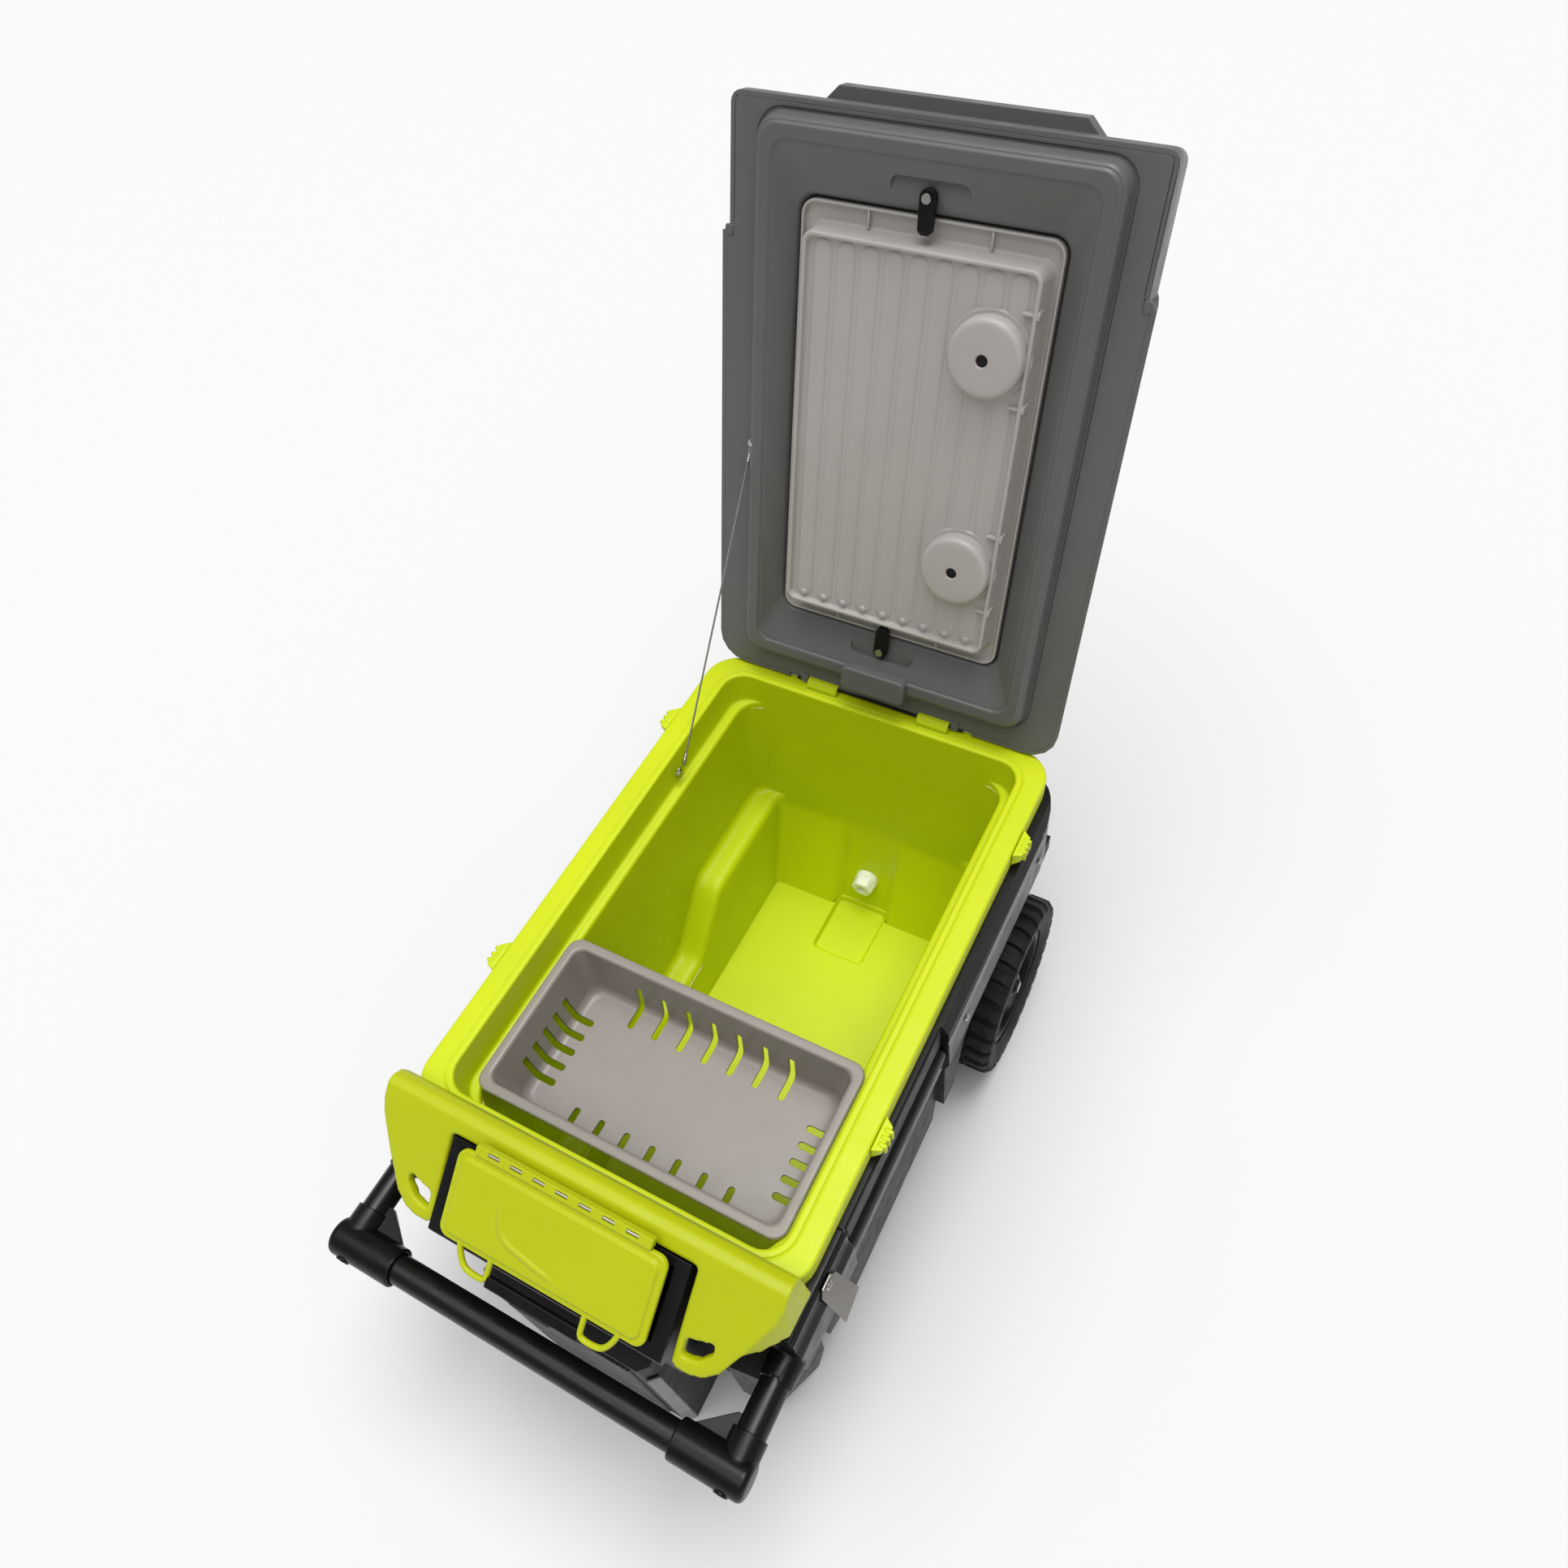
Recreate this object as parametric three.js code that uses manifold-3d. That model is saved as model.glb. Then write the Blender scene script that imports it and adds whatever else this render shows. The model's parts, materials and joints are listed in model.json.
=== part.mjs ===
// Cooler on wheels, lid open: an insulated tub on two large wheels with a pull-out handle.
// Millimetres, +Z up. +Y is the rear (lid hinge and wheels), -Y the front (handle), +X the right side.
// Lengths along Y are given from the rear inside edge of the tub's opening. The last line moves the
// whole object so that its origin is on the ground, at the middle of its footprint.
import * as THREE from 'three';
import { ConvexGeometry } from 'three/addons/geometries/ConvexGeometry.js';
import { mergeVertices } from 'three/addons/utils/BufferGeometryUtils.js';
import Module from 'manifold-3d';

const wasm = await Module();
wasm.setup();

// ---- driving dimensions ------------------------------------------------------------------------
const GAP = 0.3;                 // clearance kept between touching pieces
const FOOTPRINT_MID_Y = -288.1;  // middle of the footprint, measured from the opening's rear edge

const RIM_TOP = 444;             // height of the tub's rim
const RIM_DROP = 32;             // height of the lime band round the rim
const RIM_HALF = 240.5;          // half the width over the rim
const RIM_REAR = 29;
const RIM_FRONT = -675;
const RIM_CORNER = 42;
const SKIN = 3.5;                // wall of the moulded plastic parts

const OPEN_HALF = 206;           // the tub's opening
const OPEN_LENGTH = 648;
const OPEN_CORNER = 28;
const LEDGE_TOP = 400;           // ledges that the basket hangs on
const LEDGE_HALF = 189;
const SHELF_TOP = 215;           // top of the wheel housings inside the tub
const FRONT_SHELF_TOP = 130;     // the same step, lower, ahead of the wheels
const FLOOR_TOP = 60;
const FLOOR_HALF = 141;
const SUMP_DEPTH = 9;
const SUMP_HALF = 40;

const BODY_HALF = 218;           // outer body below the rim
const BODY_REAR = 22;
const BODY_FRONT = -668;
const BODY_BOTTOM = 30;
const STEP_HEIGHT = 110;         // below this height the outer body is narrower
const KEEL_HALF = 176;

const WHEEL_RADIUS = 127;
const WHEEL_Y = -123;
const WHEEL_IN = 206;            // inner and outer face of a wheel, from the middle plane
const WHEEL_OUT = 276;
const HUB_RADIUS = 84;
const AXLE_RADIUS = 8;
const WELL_CLEARANCE = 8;

const TUBE_RADIUS = 16;          // handle tubes
const TUBE_X = 239;
const HANDLE_Z = 345;
const HANDLE_Y = -820;
const TUBE_REAR = -60;
const TEE_RADIUS = 21;
const TEE_IN = 175;
const TEE_OUT = 259;

const RAIL_FRONT = -735;
const SOCKET_FRONT = -706;
const RAIL_REAR = 20;
const HOUSING_FRONT = -345;      // the rail is a closed housing behind this line
const SOCKET_REAR = -588;        // and a closed socket ahead of this one
const RAIL_OUT = 257;

const HINGE_Y = 24;              // lid hinge
const HINGE_Z = 449;
const PIN_RADIUS = 3.4;
const LID_OPEN = 106;            // opening angle, degrees
const LID_REAR = 26.5;
const LID_BOTTOM = 446.5;        // the lid's rim face and top, when shut
const LID_TOP = 512;
const RECESS_HALF = 144;         // tray recess in the lid
const RECESS_REAR = -80;
const RECESS_FRONT = -564;
const RECESS_FLOOR = 458.5;
const PLUG_BOTTOM = 428;
const CUP_X = 85;
const CUP_YS = [-205, -449];
const CUP_RADIUS = 40;
const CUP_BOTTOM = 412.5;
const TRAY_FOOT = 424.5;          // the rim that the tray stands on, and its floor
const TRAY_BOTTOM = 431;
const CLIP_FRONT_Y = -582;
const CLIP_REAR_Y = -62;

const FACE_TOP = [-685, 480];    // two points (y, z) on the sloping face of the bumper
const FACE_LOW = [-768, 400];
const FLAP_TOP = [-701, 491];    // and on the face of the storage flap
const FLAP_LOW = [-779, 422];
const BIN_HALF = 143;
const FLAP_HALF = 125;
const KNUCKLES = 7;
const KNUCKLE_PITCH = 27.5;

const BASKET = { half: 196, rear: -420, front: -628, top: 408, floor: 328 };
const CABLE_RADIUS = 1.3;

// ---- colours and finishes ----------------------------------------------------------------------
function finish(color, roughness, metalness = 0) {
  return new THREE.MeshStandardMaterial({ color, roughness, metalness });
}
const LIME = finish(0xc3d20a, 0.45);
const BLACK = finish(0x161616, 0.4);
const CHARCOAL = finish(0x2b2b2c, 0.6);
const LID_GREY = finish(0x5c5e5d, 0.5);
const TRAY_GREY = finish(0xa29f97, 0.45);
const BASKET_GREY = finish(0xa39b95, 0.5);
const RUBBER = finish(0x1a1a1a, 0.85);
const STEEL = finish(0xb9b4ae, 0.28, 1);
const TRIM_GREY = finish(0xb5b0ac, 0.4);
const OFF_WHITE = finish(0xe9efcf, 0.45);
const FOAM = finish(0xe8dfb5, 0.9);

// ---- small modelling tools ---------------------------------------------------------------------
function solid(geometry) {
  const bare = geometry.index ? geometry.toNonIndexed() : geometry.clone();
  for (const name of Object.keys(bare.attributes)) {
    if (name !== 'position') bare.deleteAttribute(name);
  }
  const merged = mergeVertices(bare, 1e-3);
  return new wasm.Manifold(new wasm.Mesh({
    numProp: 3,
    vertProperties: new Float32Array(merged.attributes.position.array),
    triVerts: new Uint32Array(merged.index.array),
  }));
}

function geometryOf(manifold) {
  const mesh = manifold.getMesh();
  const geometry = new THREE.BufferGeometry();
  geometry.setAttribute('position', new THREE.BufferAttribute(new Float32Array(mesh.vertProperties), 3));
  geometry.setIndex(new THREE.BufferAttribute(new Uint32Array(mesh.triVerts), 1));
  geometry.computeVertexNormals();
  return geometry;
}

const union = (...pieces) => pieces.flat().reduce((a, b) => a.add(b));
const less = (piece, ...cuts) => cuts.flat().reduce((a, b) => a.subtract(b), piece);
const mirrored = (piece, side) => (side > 0 ? piece : piece.mirror([1, 0, 0]));

function box(x0, x1, y0, y1, z0, z1) {
  const geometry = new THREE.BoxGeometry(Math.abs(x1 - x0), Math.abs(y1 - y0), Math.abs(z1 - z0));
  return solid(geometry.translate((x0 + x1) / 2, (y0 + y1) / 2, (z0 + z1) / 2));
}

// A round rod along one axis from a to b; `at` holds its other two coordinates, in x, y, z order.
function rod(axis, radius, a, b, at, sides = 16, endRadius = radius) {
  const geometry = new THREE.CylinderGeometry(endRadius, radius, Math.abs(b - a), sides);
  geometry.rotateY(Math.PI / sides);
  const mid = (a + b) / 2;
  if (axis === 'x') geometry.rotateZ(-Math.PI / 2).translate(mid, at[0], at[1]);
  if (axis === 'y') geometry.translate(at[0], mid, at[1]);
  if (axis === 'z') geometry.rotateX(Math.PI / 2).translate(at[0], at[1], mid);
  return solid(geometry);
}

const shapeOf = (points, holes = []) => {
  const shape = new THREE.Shape(points.map(([u, v]) => new THREE.Vector2(u, v)));
  shape.holes = holes.map((hole) => new THREE.Path(hole.map(([u, v]) => new THREE.Vector2(u, v))));
  return shape;
};

// An outline in (y, z) carried along X.
function prismX(points, x0, x1, holes = []) {
  const geometry = new THREE.ExtrudeGeometry(shapeOf(points, holes), { depth: x1 - x0, bevelEnabled: false });
  geometry.applyMatrix4(new THREE.Matrix4().makeBasis(
    new THREE.Vector3(0, 1, 0), new THREE.Vector3(0, 0, 1), new THREE.Vector3(1, 0, 0)));
  return solid(geometry.translate(x0, 0, 0));
}

// An outline in (x, y) carried up.
function prismZ(points, z0, z1, holes = []) {
  const geometry = new THREE.ExtrudeGeometry(shapeOf(points, holes), { depth: z1 - z0, bevelEnabled: false });
  return solid(geometry.translate(0, 0, z0));
}

// An outline in (x, z) carried along Y.
function prismY(points, y0, y1) {
  const geometry = new THREE.ExtrudeGeometry(shapeOf(points), { depth: y1 - y0, bevelEnabled: false });
  geometry.rotateX(Math.PI / 2);
  return solid(geometry.translate(0, y1, 0));
}

// Points of a level rounded rectangle.
function roundedRing(x0, x1, y0, y1, z, radius, steps = 4) {
  const points = [];
  const corners = [[x1 - radius, y1 - radius, 0], [x0 + radius, y1 - radius, 1],
    [x0 + radius, y0 + radius, 2], [x1 - radius, y0 + radius, 3]];
  for (const [cx, cy, quarter] of corners) {
    for (let i = 0; i <= steps; i += 1) {
      const angle = (quarter + i / steps) * Math.PI / 2;
      points.push(new THREE.Vector3(cx + radius * Math.cos(angle), cy + radius * Math.sin(angle), z));
    }
  }
  return points;
}

const points = (list) => list.map(([x, y, z]) => new THREE.Vector3(x, y, z));
const ring = (half, y0, y1, z, radius, steps) => roundedRing(-half, half, y0, y1, z, radius, steps);
const hull = (...rings) => solid(new ConvexGeometry(rings.flat()));

// A flat pattern drawn on a sloping face, given as (x, distance down the slope), with a thickness
// measured from the face: `out` above it and `deep` below it.
function onSlope(top, low, outline, out, deep, holes = []) {
  const down = new THREE.Vector3(0, low[0] - top[0], low[1] - top[1]).normalize();
  const right = new THREE.Vector3(1, 0, 0);
  const inward = new THREE.Vector3().crossVectors(right, down);
  const options = { depth: out + deep, bevelEnabled: false };
  const geometry = new THREE.ExtrudeGeometry(shapeOf(outline, holes), options);
  geometry.translate(0, 0, -out);
  geometry.applyMatrix4(new THREE.Matrix4().makeBasis(right, down, inward));
  return solid(geometry.translate(0, top[0], top[1]));
}

function roundedOutline(x0, x1, t0, t1, radius, steps = 3) {
  return roundedRing(x0, x1, t0, t1, 0, radius, steps).map((p) => [p.x, p.y]);
}

const mirrorOutline = (points) => points.map(([x, t]) => [-x, t]).reverse();

const cooler = new THREE.Group();
const lid = new THREE.Group();

function add(name, piece, material, group = cooler) {
  const mesh = new THREE.Mesh(geometryOf(piece), material);
  mesh.name = name;
  group.add(mesh);
  return mesh;
}

// ---- the tub -----------------------------------------------------------------------------------
// The hollow inside the tub, grown outwards by `grow`.
function tubHollow(grow) {
  const g = grow;
  const front = -OPEN_LENGTH;
  const mouth = hull(
    ring(OPEN_HALF + g, front - g, g, RIM_TOP + 10, OPEN_CORNER + g),
    ring(OPEN_HALF - 3 + g, front + 8 - g, -8 + g, LEDGE_TOP - g, OPEN_CORNER + g));
  const middle = hull(
    ring(LEDGE_HALF + g, front + 8 - g, -8 + g, LEDGE_TOP + 1, OPEN_CORNER + g),
    ring(LEDGE_HALF - 2 + g, front + 14 - g, -16 + g, SHELF_TOP - g, 12 + g));
  const frontPocket = hull(
    ring(LEDGE_HALF - 2 + g, front + 14 - g, -200 + g, SHELF_TOP + 1, 12 + g),
    ring(LEDGE_HALF - 5 + g, front + 16 - g, -280 + g, FRONT_SHELF_TOP - g, 12 + g));
  const well = hull(
    ring(FLOOR_HALF + 10 + g, front + 14 - g, -16 + g, SHELF_TOP + 1, 8 + g, 3),
    ring(FLOOR_HALF + 8 + g, front + 15 - g, -18 + g, SHELF_TOP - 28, 8 + g, 3),
    ring(FLOOR_HALF + g, front + 20 - g, -75 + g, FLOOR_TOP - g, 8 + g, 3));
  const drainRecess = hull(
    ring(SUMP_HALF + g, -200 - g, -17 + g, SHELF_TOP - 30, 5 + g, 2),
    ring(SUMP_HALF + g, -200 - g, -52 + g, FLOOR_TOP - g, 5 + g, 2));
  const sump = hull(
    ring(SUMP_HALF + g, -150 - g, -52 + g, FLOOR_TOP + 2, 8 + g, 2),
    ring(SUMP_HALF + g, -150 - g, -52 + g, FLOOR_TOP - SUMP_DEPTH - g, 8 + g, 2));
  return union(mouth, middle, frontPocket, well, drainRecess, sump);
}

// The outer body, shrunk inwards by `shrink`.
function bodyBlock(shrink) {
  const s = shrink;
  const upper = hull(
    ring(BODY_HALF - s, BODY_FRONT + s, BODY_REAR - s, RIM_TOP - 7, RIM_CORNER - 6 - s),
    ring(BODY_HALF - 3 - s, BODY_FRONT + 8 + s, BODY_REAR - 8 - s, STEP_HEIGHT + s, RIM_CORNER - 10 - s));
  const keel = hull(
    ring(KEEL_HALF - s, BODY_FRONT + 9 + s, BODY_REAR - 9 - s, STEP_HEIGHT + 1 + s, 20 - s, 3),
    ring(KEEL_HALF - 8 - s, BODY_FRONT + 20 + s, BODY_REAR - 30 - s, BODY_BOTTOM + s, 20 - s, 3));
  const wells = [-1, 1].map((side) => {
    const reach = WHEEL_RADIUS + WELL_CLEARANCE + s;
    const wide = box(204 - s, 300, WHEEL_Y - reach, WHEEL_Y + reach, -10, WHEEL_RADIUS + reach);
    const deep = box(178 - s, 300, WHEEL_Y - 80 - s, WHEEL_Y + 80 + s, -10, 196 + s);
    return mirrored(union(wide, deep), side);
  });
  return less(union(upper, keel), wells);
}

const DRAIN_Z = 108;

function buildTub() {
  const outline = (half, rear, z) => ring(half, RIM_FRONT, rear, z, RIM_CORNER);
  const deck = hull(outline(RIM_HALF, RIM_REAR, RIM_TOP - 5), outline(RIM_HALF, RIM_REAR, RIM_TOP - 1.5),
    outline(RIM_HALF - 1.5, RIM_REAR - 1.5, RIM_TOP));
  const band = less(
    hull(outline(RIM_HALF, RIM_REAR, RIM_TOP - 4), outline(RIM_HALF - 1, RIM_REAR - 1, RIM_TOP - RIM_DROP)),
    hull(
      ring(RIM_HALF - SKIN, RIM_FRONT + SKIN, RIM_REAR - SKIN, RIM_TOP - 4.9, RIM_CORNER - SKIN),
      ring(RIM_HALF - 1 - SKIN, RIM_FRONT + SKIN, RIM_REAR - 1 - SKIN, RIM_TOP - RIM_DROP - 1,
        RIM_CORNER - SKIN)));
  const bead = hull(ring(OPEN_HALF + 7, -OPEN_LENGTH - 7, 7, RIM_TOP - 1, OPEN_CORNER + 7),
    ring(OPEN_HALF + 6, -OPEN_LENGTH - 6, 6, RIM_TOP + 1.2, OPEN_CORNER + 6));
  const drainHole = rod('y', 13, -80, 30, [0, DRAIN_Z]);
  const walls = tubHollow(SKIN).intersect(box(-300, 300, -800, 200, 0, RIM_TOP - 1));
  const liner = less(union(walls, deck, band, bead), tubHollow(0), drainHole);
  add('tub_liner', liner, LIME);

  const topCut = box(-300, 300, -800, 200, RIM_TOP - 12, RIM_TOP + 5);
  const outer = less(bodyBlock(0), bodyBlock(SKIN), topCut, rod('y', 13, -40, 60, [0, DRAIN_Z]));
  add('outer_body', outer, BLACK);

  const foam = less(bodyBlock(SKIN + GAP), tubHollow(SKIN + GAP),
    box(-300, 300, -800, 200, RIM_TOP - 14, RIM_TOP + 5), rod('y', 13.5, -90, 60, [0, DRAIN_Z]));
  add('insulation_foam', foam, FOAM);
}

// ---- the front bumper with its two tie-down wings ------------------------------------------------
function buildBumper() {
  const profile = [[-655.5, 444.3], [-656.5, 464], [-661, 477], [-670, 484], [-680, 484], [-690, 475.2],
    [-772, 396.1], [-763.7, 387.4], [-681, 466.8], [-674, 471], [-668.5, 464], [-667, 444.3]];
  const half = [[RIM_HALF, -60], [RIM_HALF, 14], [237, 27], [213, 76], [199, 103], [185, 116], [170, 121],
    [154, 121], [148, 116], [148, 12]];
  const outline = [...half, ...mirrorOutline(half)];
  const hole = [[157, 86], [187, 77], [187, 88], [175, 102], [157, 107]];
  const face = onSlope(FACE_TOP, FACE_LOW, outline, 40, 60, [hole, mirrorOutline(hole)]);
  const sheet = prismX(profile, -RIM_HALF, RIM_HALF).intersect(face);
  // The sides flare out a little over the handle sockets.
  const wall = (list) => hull(points(list.flatMap(([x, y, z]) => [[x, y, z], [x - 6, y + 1, z]])));
  const sides = [-1, 1].map((side) => mirrored(union(
    wall([[240, -686, 478], [240, -657, 462], [237, -704, 460.5], [248, -657, 424], [247, -703, 426]]),
    wall([[237, -703, 460.5], [247, -702, 426], [214, -738, 427.5], [229, -724, 421]])), side));
  const tubSpace = box(-RIM_HALF - 0.5, RIM_HALF + 0.5, RIM_FRONT - 0.4, 0, 300, RIM_TOP + 0.3);
  add('front_bumper', less(union(sheet, sides), tubSpace), LIME);
}

// ---- rim fittings --------------------------------------------------------------------------------
function buildCleats() {
  for (const [sideName, side] of [['left', -1], ['right', 1]]) {
    for (const [place, y] of [['front', -492], ['rear', -102]]) {
      const body = hull(points([[241, 20, 441], [241, 20, 420], [241, -20, 441], [241, -20, 420],
        [252, 12, 441], [252, -16, 441], [250, 10, 424], [250, -14, 424]])).translate([0, y, 0]);
      const ribs = [-12, -4, 4].map((dy) => box(246, 255, y + dy, y + dy + 4, 426, 442.5));
      add(`tie_down_cleat_${place}_${sideName}`, mirrored(union(body, ribs), side), LIME);
    }
  }
}

function buildHinge() {
  for (const [sideName, side] of [['left', -1], ['right', 1]]) {
    const block = prismX([[12, 444.3], [12, 450], [18, 456.5], [30, 456.5], [34, 450], [34, 444.3]], 57, 100);
    const knuckle = less(block, rod('x', PIN_RADIUS + 0.4, 50, 110, [HINGE_Y, HINGE_Z], 12));
    add(`hinge_knuckle_${sideName}`, mirrored(knuckle, side), LIME);
  }
  add('hinge_pin', rod('x', PIN_RADIUS, -118, 118, [HINGE_Y, HINGE_Z], 12), BLACK);
}

// ---- the sides: handle rails, skirts, sockets ----------------------------------------------------
const RAIL_TOP = 411;

function buildSides() {
  for (const [sideName, side] of [['left', -1], ['right', 1]]) {
    const place = (name, piece, material) => add(`${name}_${sideName}`, mirrored(piece, side), material);
    const tubeCut = rod('y', TUBE_RADIUS + 0.8, -900, TUBE_REAR + 8, [TUBE_X, HANDLE_Z], 20);

    const channel = prismY([[BODY_HALF + 0.5, 298], [BODY_HALF + 0.5, RAIL_TOP], [246, RAIL_TOP], [246, 368],
      [222.5, 366], [222.5, 322], [246, 320], [250, 316], [250, 298]], SOCKET_REAR + GAP, HOUSING_FRONT + 1);
    const housing = prismY([
      [BODY_HALF + 0.5, 298], [BODY_HALF + 0.5, RAIL_TOP], [249, RAIL_TOP], [RAIL_OUT, 398],
      [RAIL_OUT + 2, 318], [253, 298]], HOUSING_FRONT, RAIL_REAR);
    const rearCorner = prismZ([[262, -70], [258, -45], [253, -16], [247, -2], [241, 8], [232, 17], [232, 60],
      [300, 60], [300, -70]], 200, 500);
    place('side_rail', less(union(channel, housing), tubeCut, rearCorner), BLACK);

    const stripEdge = (x, inset) => [SOCKET_REAR + inset, HOUSING_FRONT - inset]
      .flatMap((y) => points([[x, y, 372], [x, y, 408]]));
    place('side_strip', hull(stripEdge(246.3, 3), stripEdge(248.3, 5)), CHARCOAL);

    const barIn = RAIL_OUT + 0.4;
    const barOut = RAIL_OUT + 3.4;
    const bar = hull(points([[barIn, -348, 384], [barIn, -348, 379], [barIn, -50, 394], [barIn, -50, 389],
      [barOut, -346, 383], [barOut, -346, 380], [barOut, -54, 393], [barOut, -54, 390]]));
    place('rail_trim', less(bar, housing), TRIM_GREY);

    const archEdge = [[18, 297.5], [18, 270], [WHEEL_Y + 100, 262], [WHEEL_Y - 120, 262], [-276, 240],
      [-300, 165], [-335, 165]];
    const skirt = prismX([...archEdge, [-345, 122], [-600, 122], [-640, 150], [-655, 240], [-655, 297.5]],
      BODY_HALF + 0.5, 239);
    const arch = prismX([...archEdge, [-335, 297.5]], 238, 250);
    place('side_skirt', union(skirt, arch), CHARCOAL);

    const socket = prismY([
      [221, 300], [221, RAIL_TOP], [246, RAIL_TOP], [250.5, 405], [250.5, 383], [257, 371],
      [258, 316], [252, 300]], SOCKET_FRONT, SOCKET_REAR);
    const collar = rod('y', 18, RAIL_FRONT, SOCKET_FRONT + 2, [TUBE_X, HANDLE_Z], 20, 20);
    place('handle_socket', less(union(socket, collar), tubeCut), BLACK);
  }
}

function buildScrews() {
  const head = (x, y, z) => rod('x', 4.6, x, x + 2.6, [y, z], 10, 3.2);
  for (const [sideName, side] of [['left', -1], ['right', 1]]) {
    for (const [place, y] of [['rear', -60], ['front', -296]]) {
      add(`rail_screw_${place}_${sideName}`, mirrored(head(RAIL_OUT + 1.5, y, 352), side), STEEL);
    }
  }
  add('opener_screw', rod('x', 5.5, 253.9, 257, [-639, 399], 12, 4), STEEL);
}

function buildOpener() {
  const plate = hull(points([251, 253.6].flatMap((x) => [[x, -630, 408], [x, -648, 408], [x, -652, 388],
    [x, -624, 388]])));
  const wing = hull(points([[251.2, -652, 389], [251.2, -622, 389], [253.8, -652, 389], [253.8, -622, 389],
    [273, -650, 330], [272.5, -617, 348], [275.5, -650, 331], [275, -617, 349]]));
  add('bottle_opener', union(plate, wing), STEEL);
}

// ---- storage bin, flap and latch -----------------------------------------------------------------
function buildBin() {
  const outer = [[-677, 305], [-677, 452], [-694.2, 456], [-694.2, 474.4], [-776, 406.5], [-776, 398],
    [-769, 385], [-765, 305]];
  const inner = [[-683, 311], [-683, 446], [-702, 454], [-702, 500], [-764, 500], [-764, 388], [-759, 311]];
  const bin = less(prismX(outer, -BIN_HALF, BIN_HALF), prismX(inner, -BIN_HALF + 16, BIN_HALF - 16));
  add('storage_bin', bin, BLACK);

  const leaf = prismX([[-698, 475.2], [-694.4, 475.2], [-694.4, 484], [-691, 486.5], [-691, 493],
    [-698, 493]], -105, 105);
  const slots = Array.from({ length: KNUCKLES }, (_, i) => {
    const x = (i - (KNUCKLES - 1) / 2) * KNUCKLE_PITCH;
    return box(x - 7, x + 7, -700, -680, 482, 500);
  });
  add('flap_hinge_strip', less(leaf, slots), LIME);
}

function buildFlap() {
  const plate = onSlope(FLAP_TOP, FLAP_LOW, roundedOutline(-FLAP_HALF, FLAP_HALF, 4.5, 103, 12), -3.5, 9);
  const panel = onSlope(FLAP_TOP, FLAP_LOW, roundedOutline(-FLAP_HALF + 9, FLAP_HALF - 9, 8, 95, 9), 0, 5);
  const fingers = Array.from({ length: KNUCKLES }, (_, i) => {
    const x = (i - (KNUCKLES - 1) / 2) * KNUCKLE_PITCH;
    return onSlope(FLAP_TOP, FLAP_LOW, [[x - 6, -3], [x + 6, -3], [x + 6, 8], [x - 6, 8]], -2, 7.5);
  });
  const loops = [-1, 1].map((side) => mirrored(onSlope(FLAP_TOP, FLAP_LOW,
    [[96, 98], [96, 116], [85, 132], [61, 132], [58, 129], [58, 98]], -2.5, 8.5,
    [[[90, 106], [90, 114], [82, 126], [65, 126], [65, 106]]]), side));
  add('storage_flap', union(plate, panel, fingers, loops), LIME);

  const bar = onSlope(FLAP_TOP, FLAP_LOW, [[-57, 118], [-57, 131], [57, 131], [57, 118]], -3, 10);
  const grip = onSlope(FLAP_TOP, FLAP_LOW, [[-30, 127], [-24, 134], [24, 134], [30, 127]], -4, 9);
  const clear = onSlope(FLAP_TOP, FLAP_LOW, roundedOutline(-FLAP_HALF, FLAP_HALF, 0, 105, 12), 20, 20);
  add('flap_latch', less(union(bar, grip), clear), BLACK);
}

// ---- feet ----------------------------------------------------------------------------------------
// A block given by its half-width and its front edge at a few heights, closed at y = back.
function frontBlock(levels, back, chamfer = 0) {
  return hull(points(levels.flatMap(([half, front, z]) => [
    [-half, front + chamfer, z], [half, front + chamfer, z],
    [-half + chamfer, front, z], [half - chamfer, front, z], [-half, back, z], [half, back, z]])));
}

function buildFeet() {
  const post = frontBlock([[112, -786, 0], [108, -786, 304.5]], -700, 10);
  const postHollow = frontBlock([[103, -778, -5], [99, -778, 290]], -690);
  const apron = frontBlock([[176, -716, 26], [176, -716, 70], [176, -700, 292]], -672);
  const apronHollow = frontBlock([[170, -709, 20], [170, -709, 64], [170, -693, 284]], -668);
  add('front_foot_frame', less(union(post, less(apron, apronHollow)), postHollow, bodyBlock(-GAP)), CHARCOAL);

  add('front_mesh_panel', frontBlock([[86, -789, 26], [86, -789, 284]], -786.3, 2), BLACK);

  const guard = hull(points([[178, -657, 0], [221, -657, 0], [208, -688, 0], [197, -720, 0], [178, -724, 0],
    ...[150, 297].flatMap((z) => [
      [178, -657, z], [240, -657, z], [231, -702, z], [221, -733, z], [178, -738, z]])]));
  for (const [sideName, side] of [['left', -1], ['right', 1]]) {
    add(`front_corner_guard_${sideName}`, mirrored(less(guard, bodyBlock(-GAP)), side), CHARCOAL);
  }
}

// ---- drain ---------------------------------------------------------------------------------------
function buildDrain() {
  const pipe = less(union(rod('y', 11.5, -62, 40, [0, DRAIN_Z]), rod('y', 17, 22.5, 27, [0, DRAIN_Z])),
    rod('y', 8, -80, 60, [0, DRAIN_Z], 12));
  add('drain_spout', pipe, OFF_WHITE);
  const nut = less(rod('y', 16.5, -62, -43.5, [0, DRAIN_Z], 6), rod('y', 12, -80, -40, [0, DRAIN_Z]));
  add('drain_nut', nut, OFF_WHITE);
  const wing = box(-3, 3, 45, 52, DRAIN_Z - 14, DRAIN_Z + 14);
  const cap = less(union(rod('y', 15.5, 28, 46, [0, DRAIN_Z]), wing),
    rod('y', 12, 20, 42, [0, DRAIN_Z]));
  add('drain_cap', cap, BLACK);
}

// ---- wheels --------------------------------------------------------------------------------------
function lathed(points, segments) {
  const geometry = new THREE.LatheGeometry(points.map(([r, y]) => new THREE.Vector2(r, y)), segments);
  return solid(geometry.rotateZ(-Math.PI / 2));
}

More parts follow.
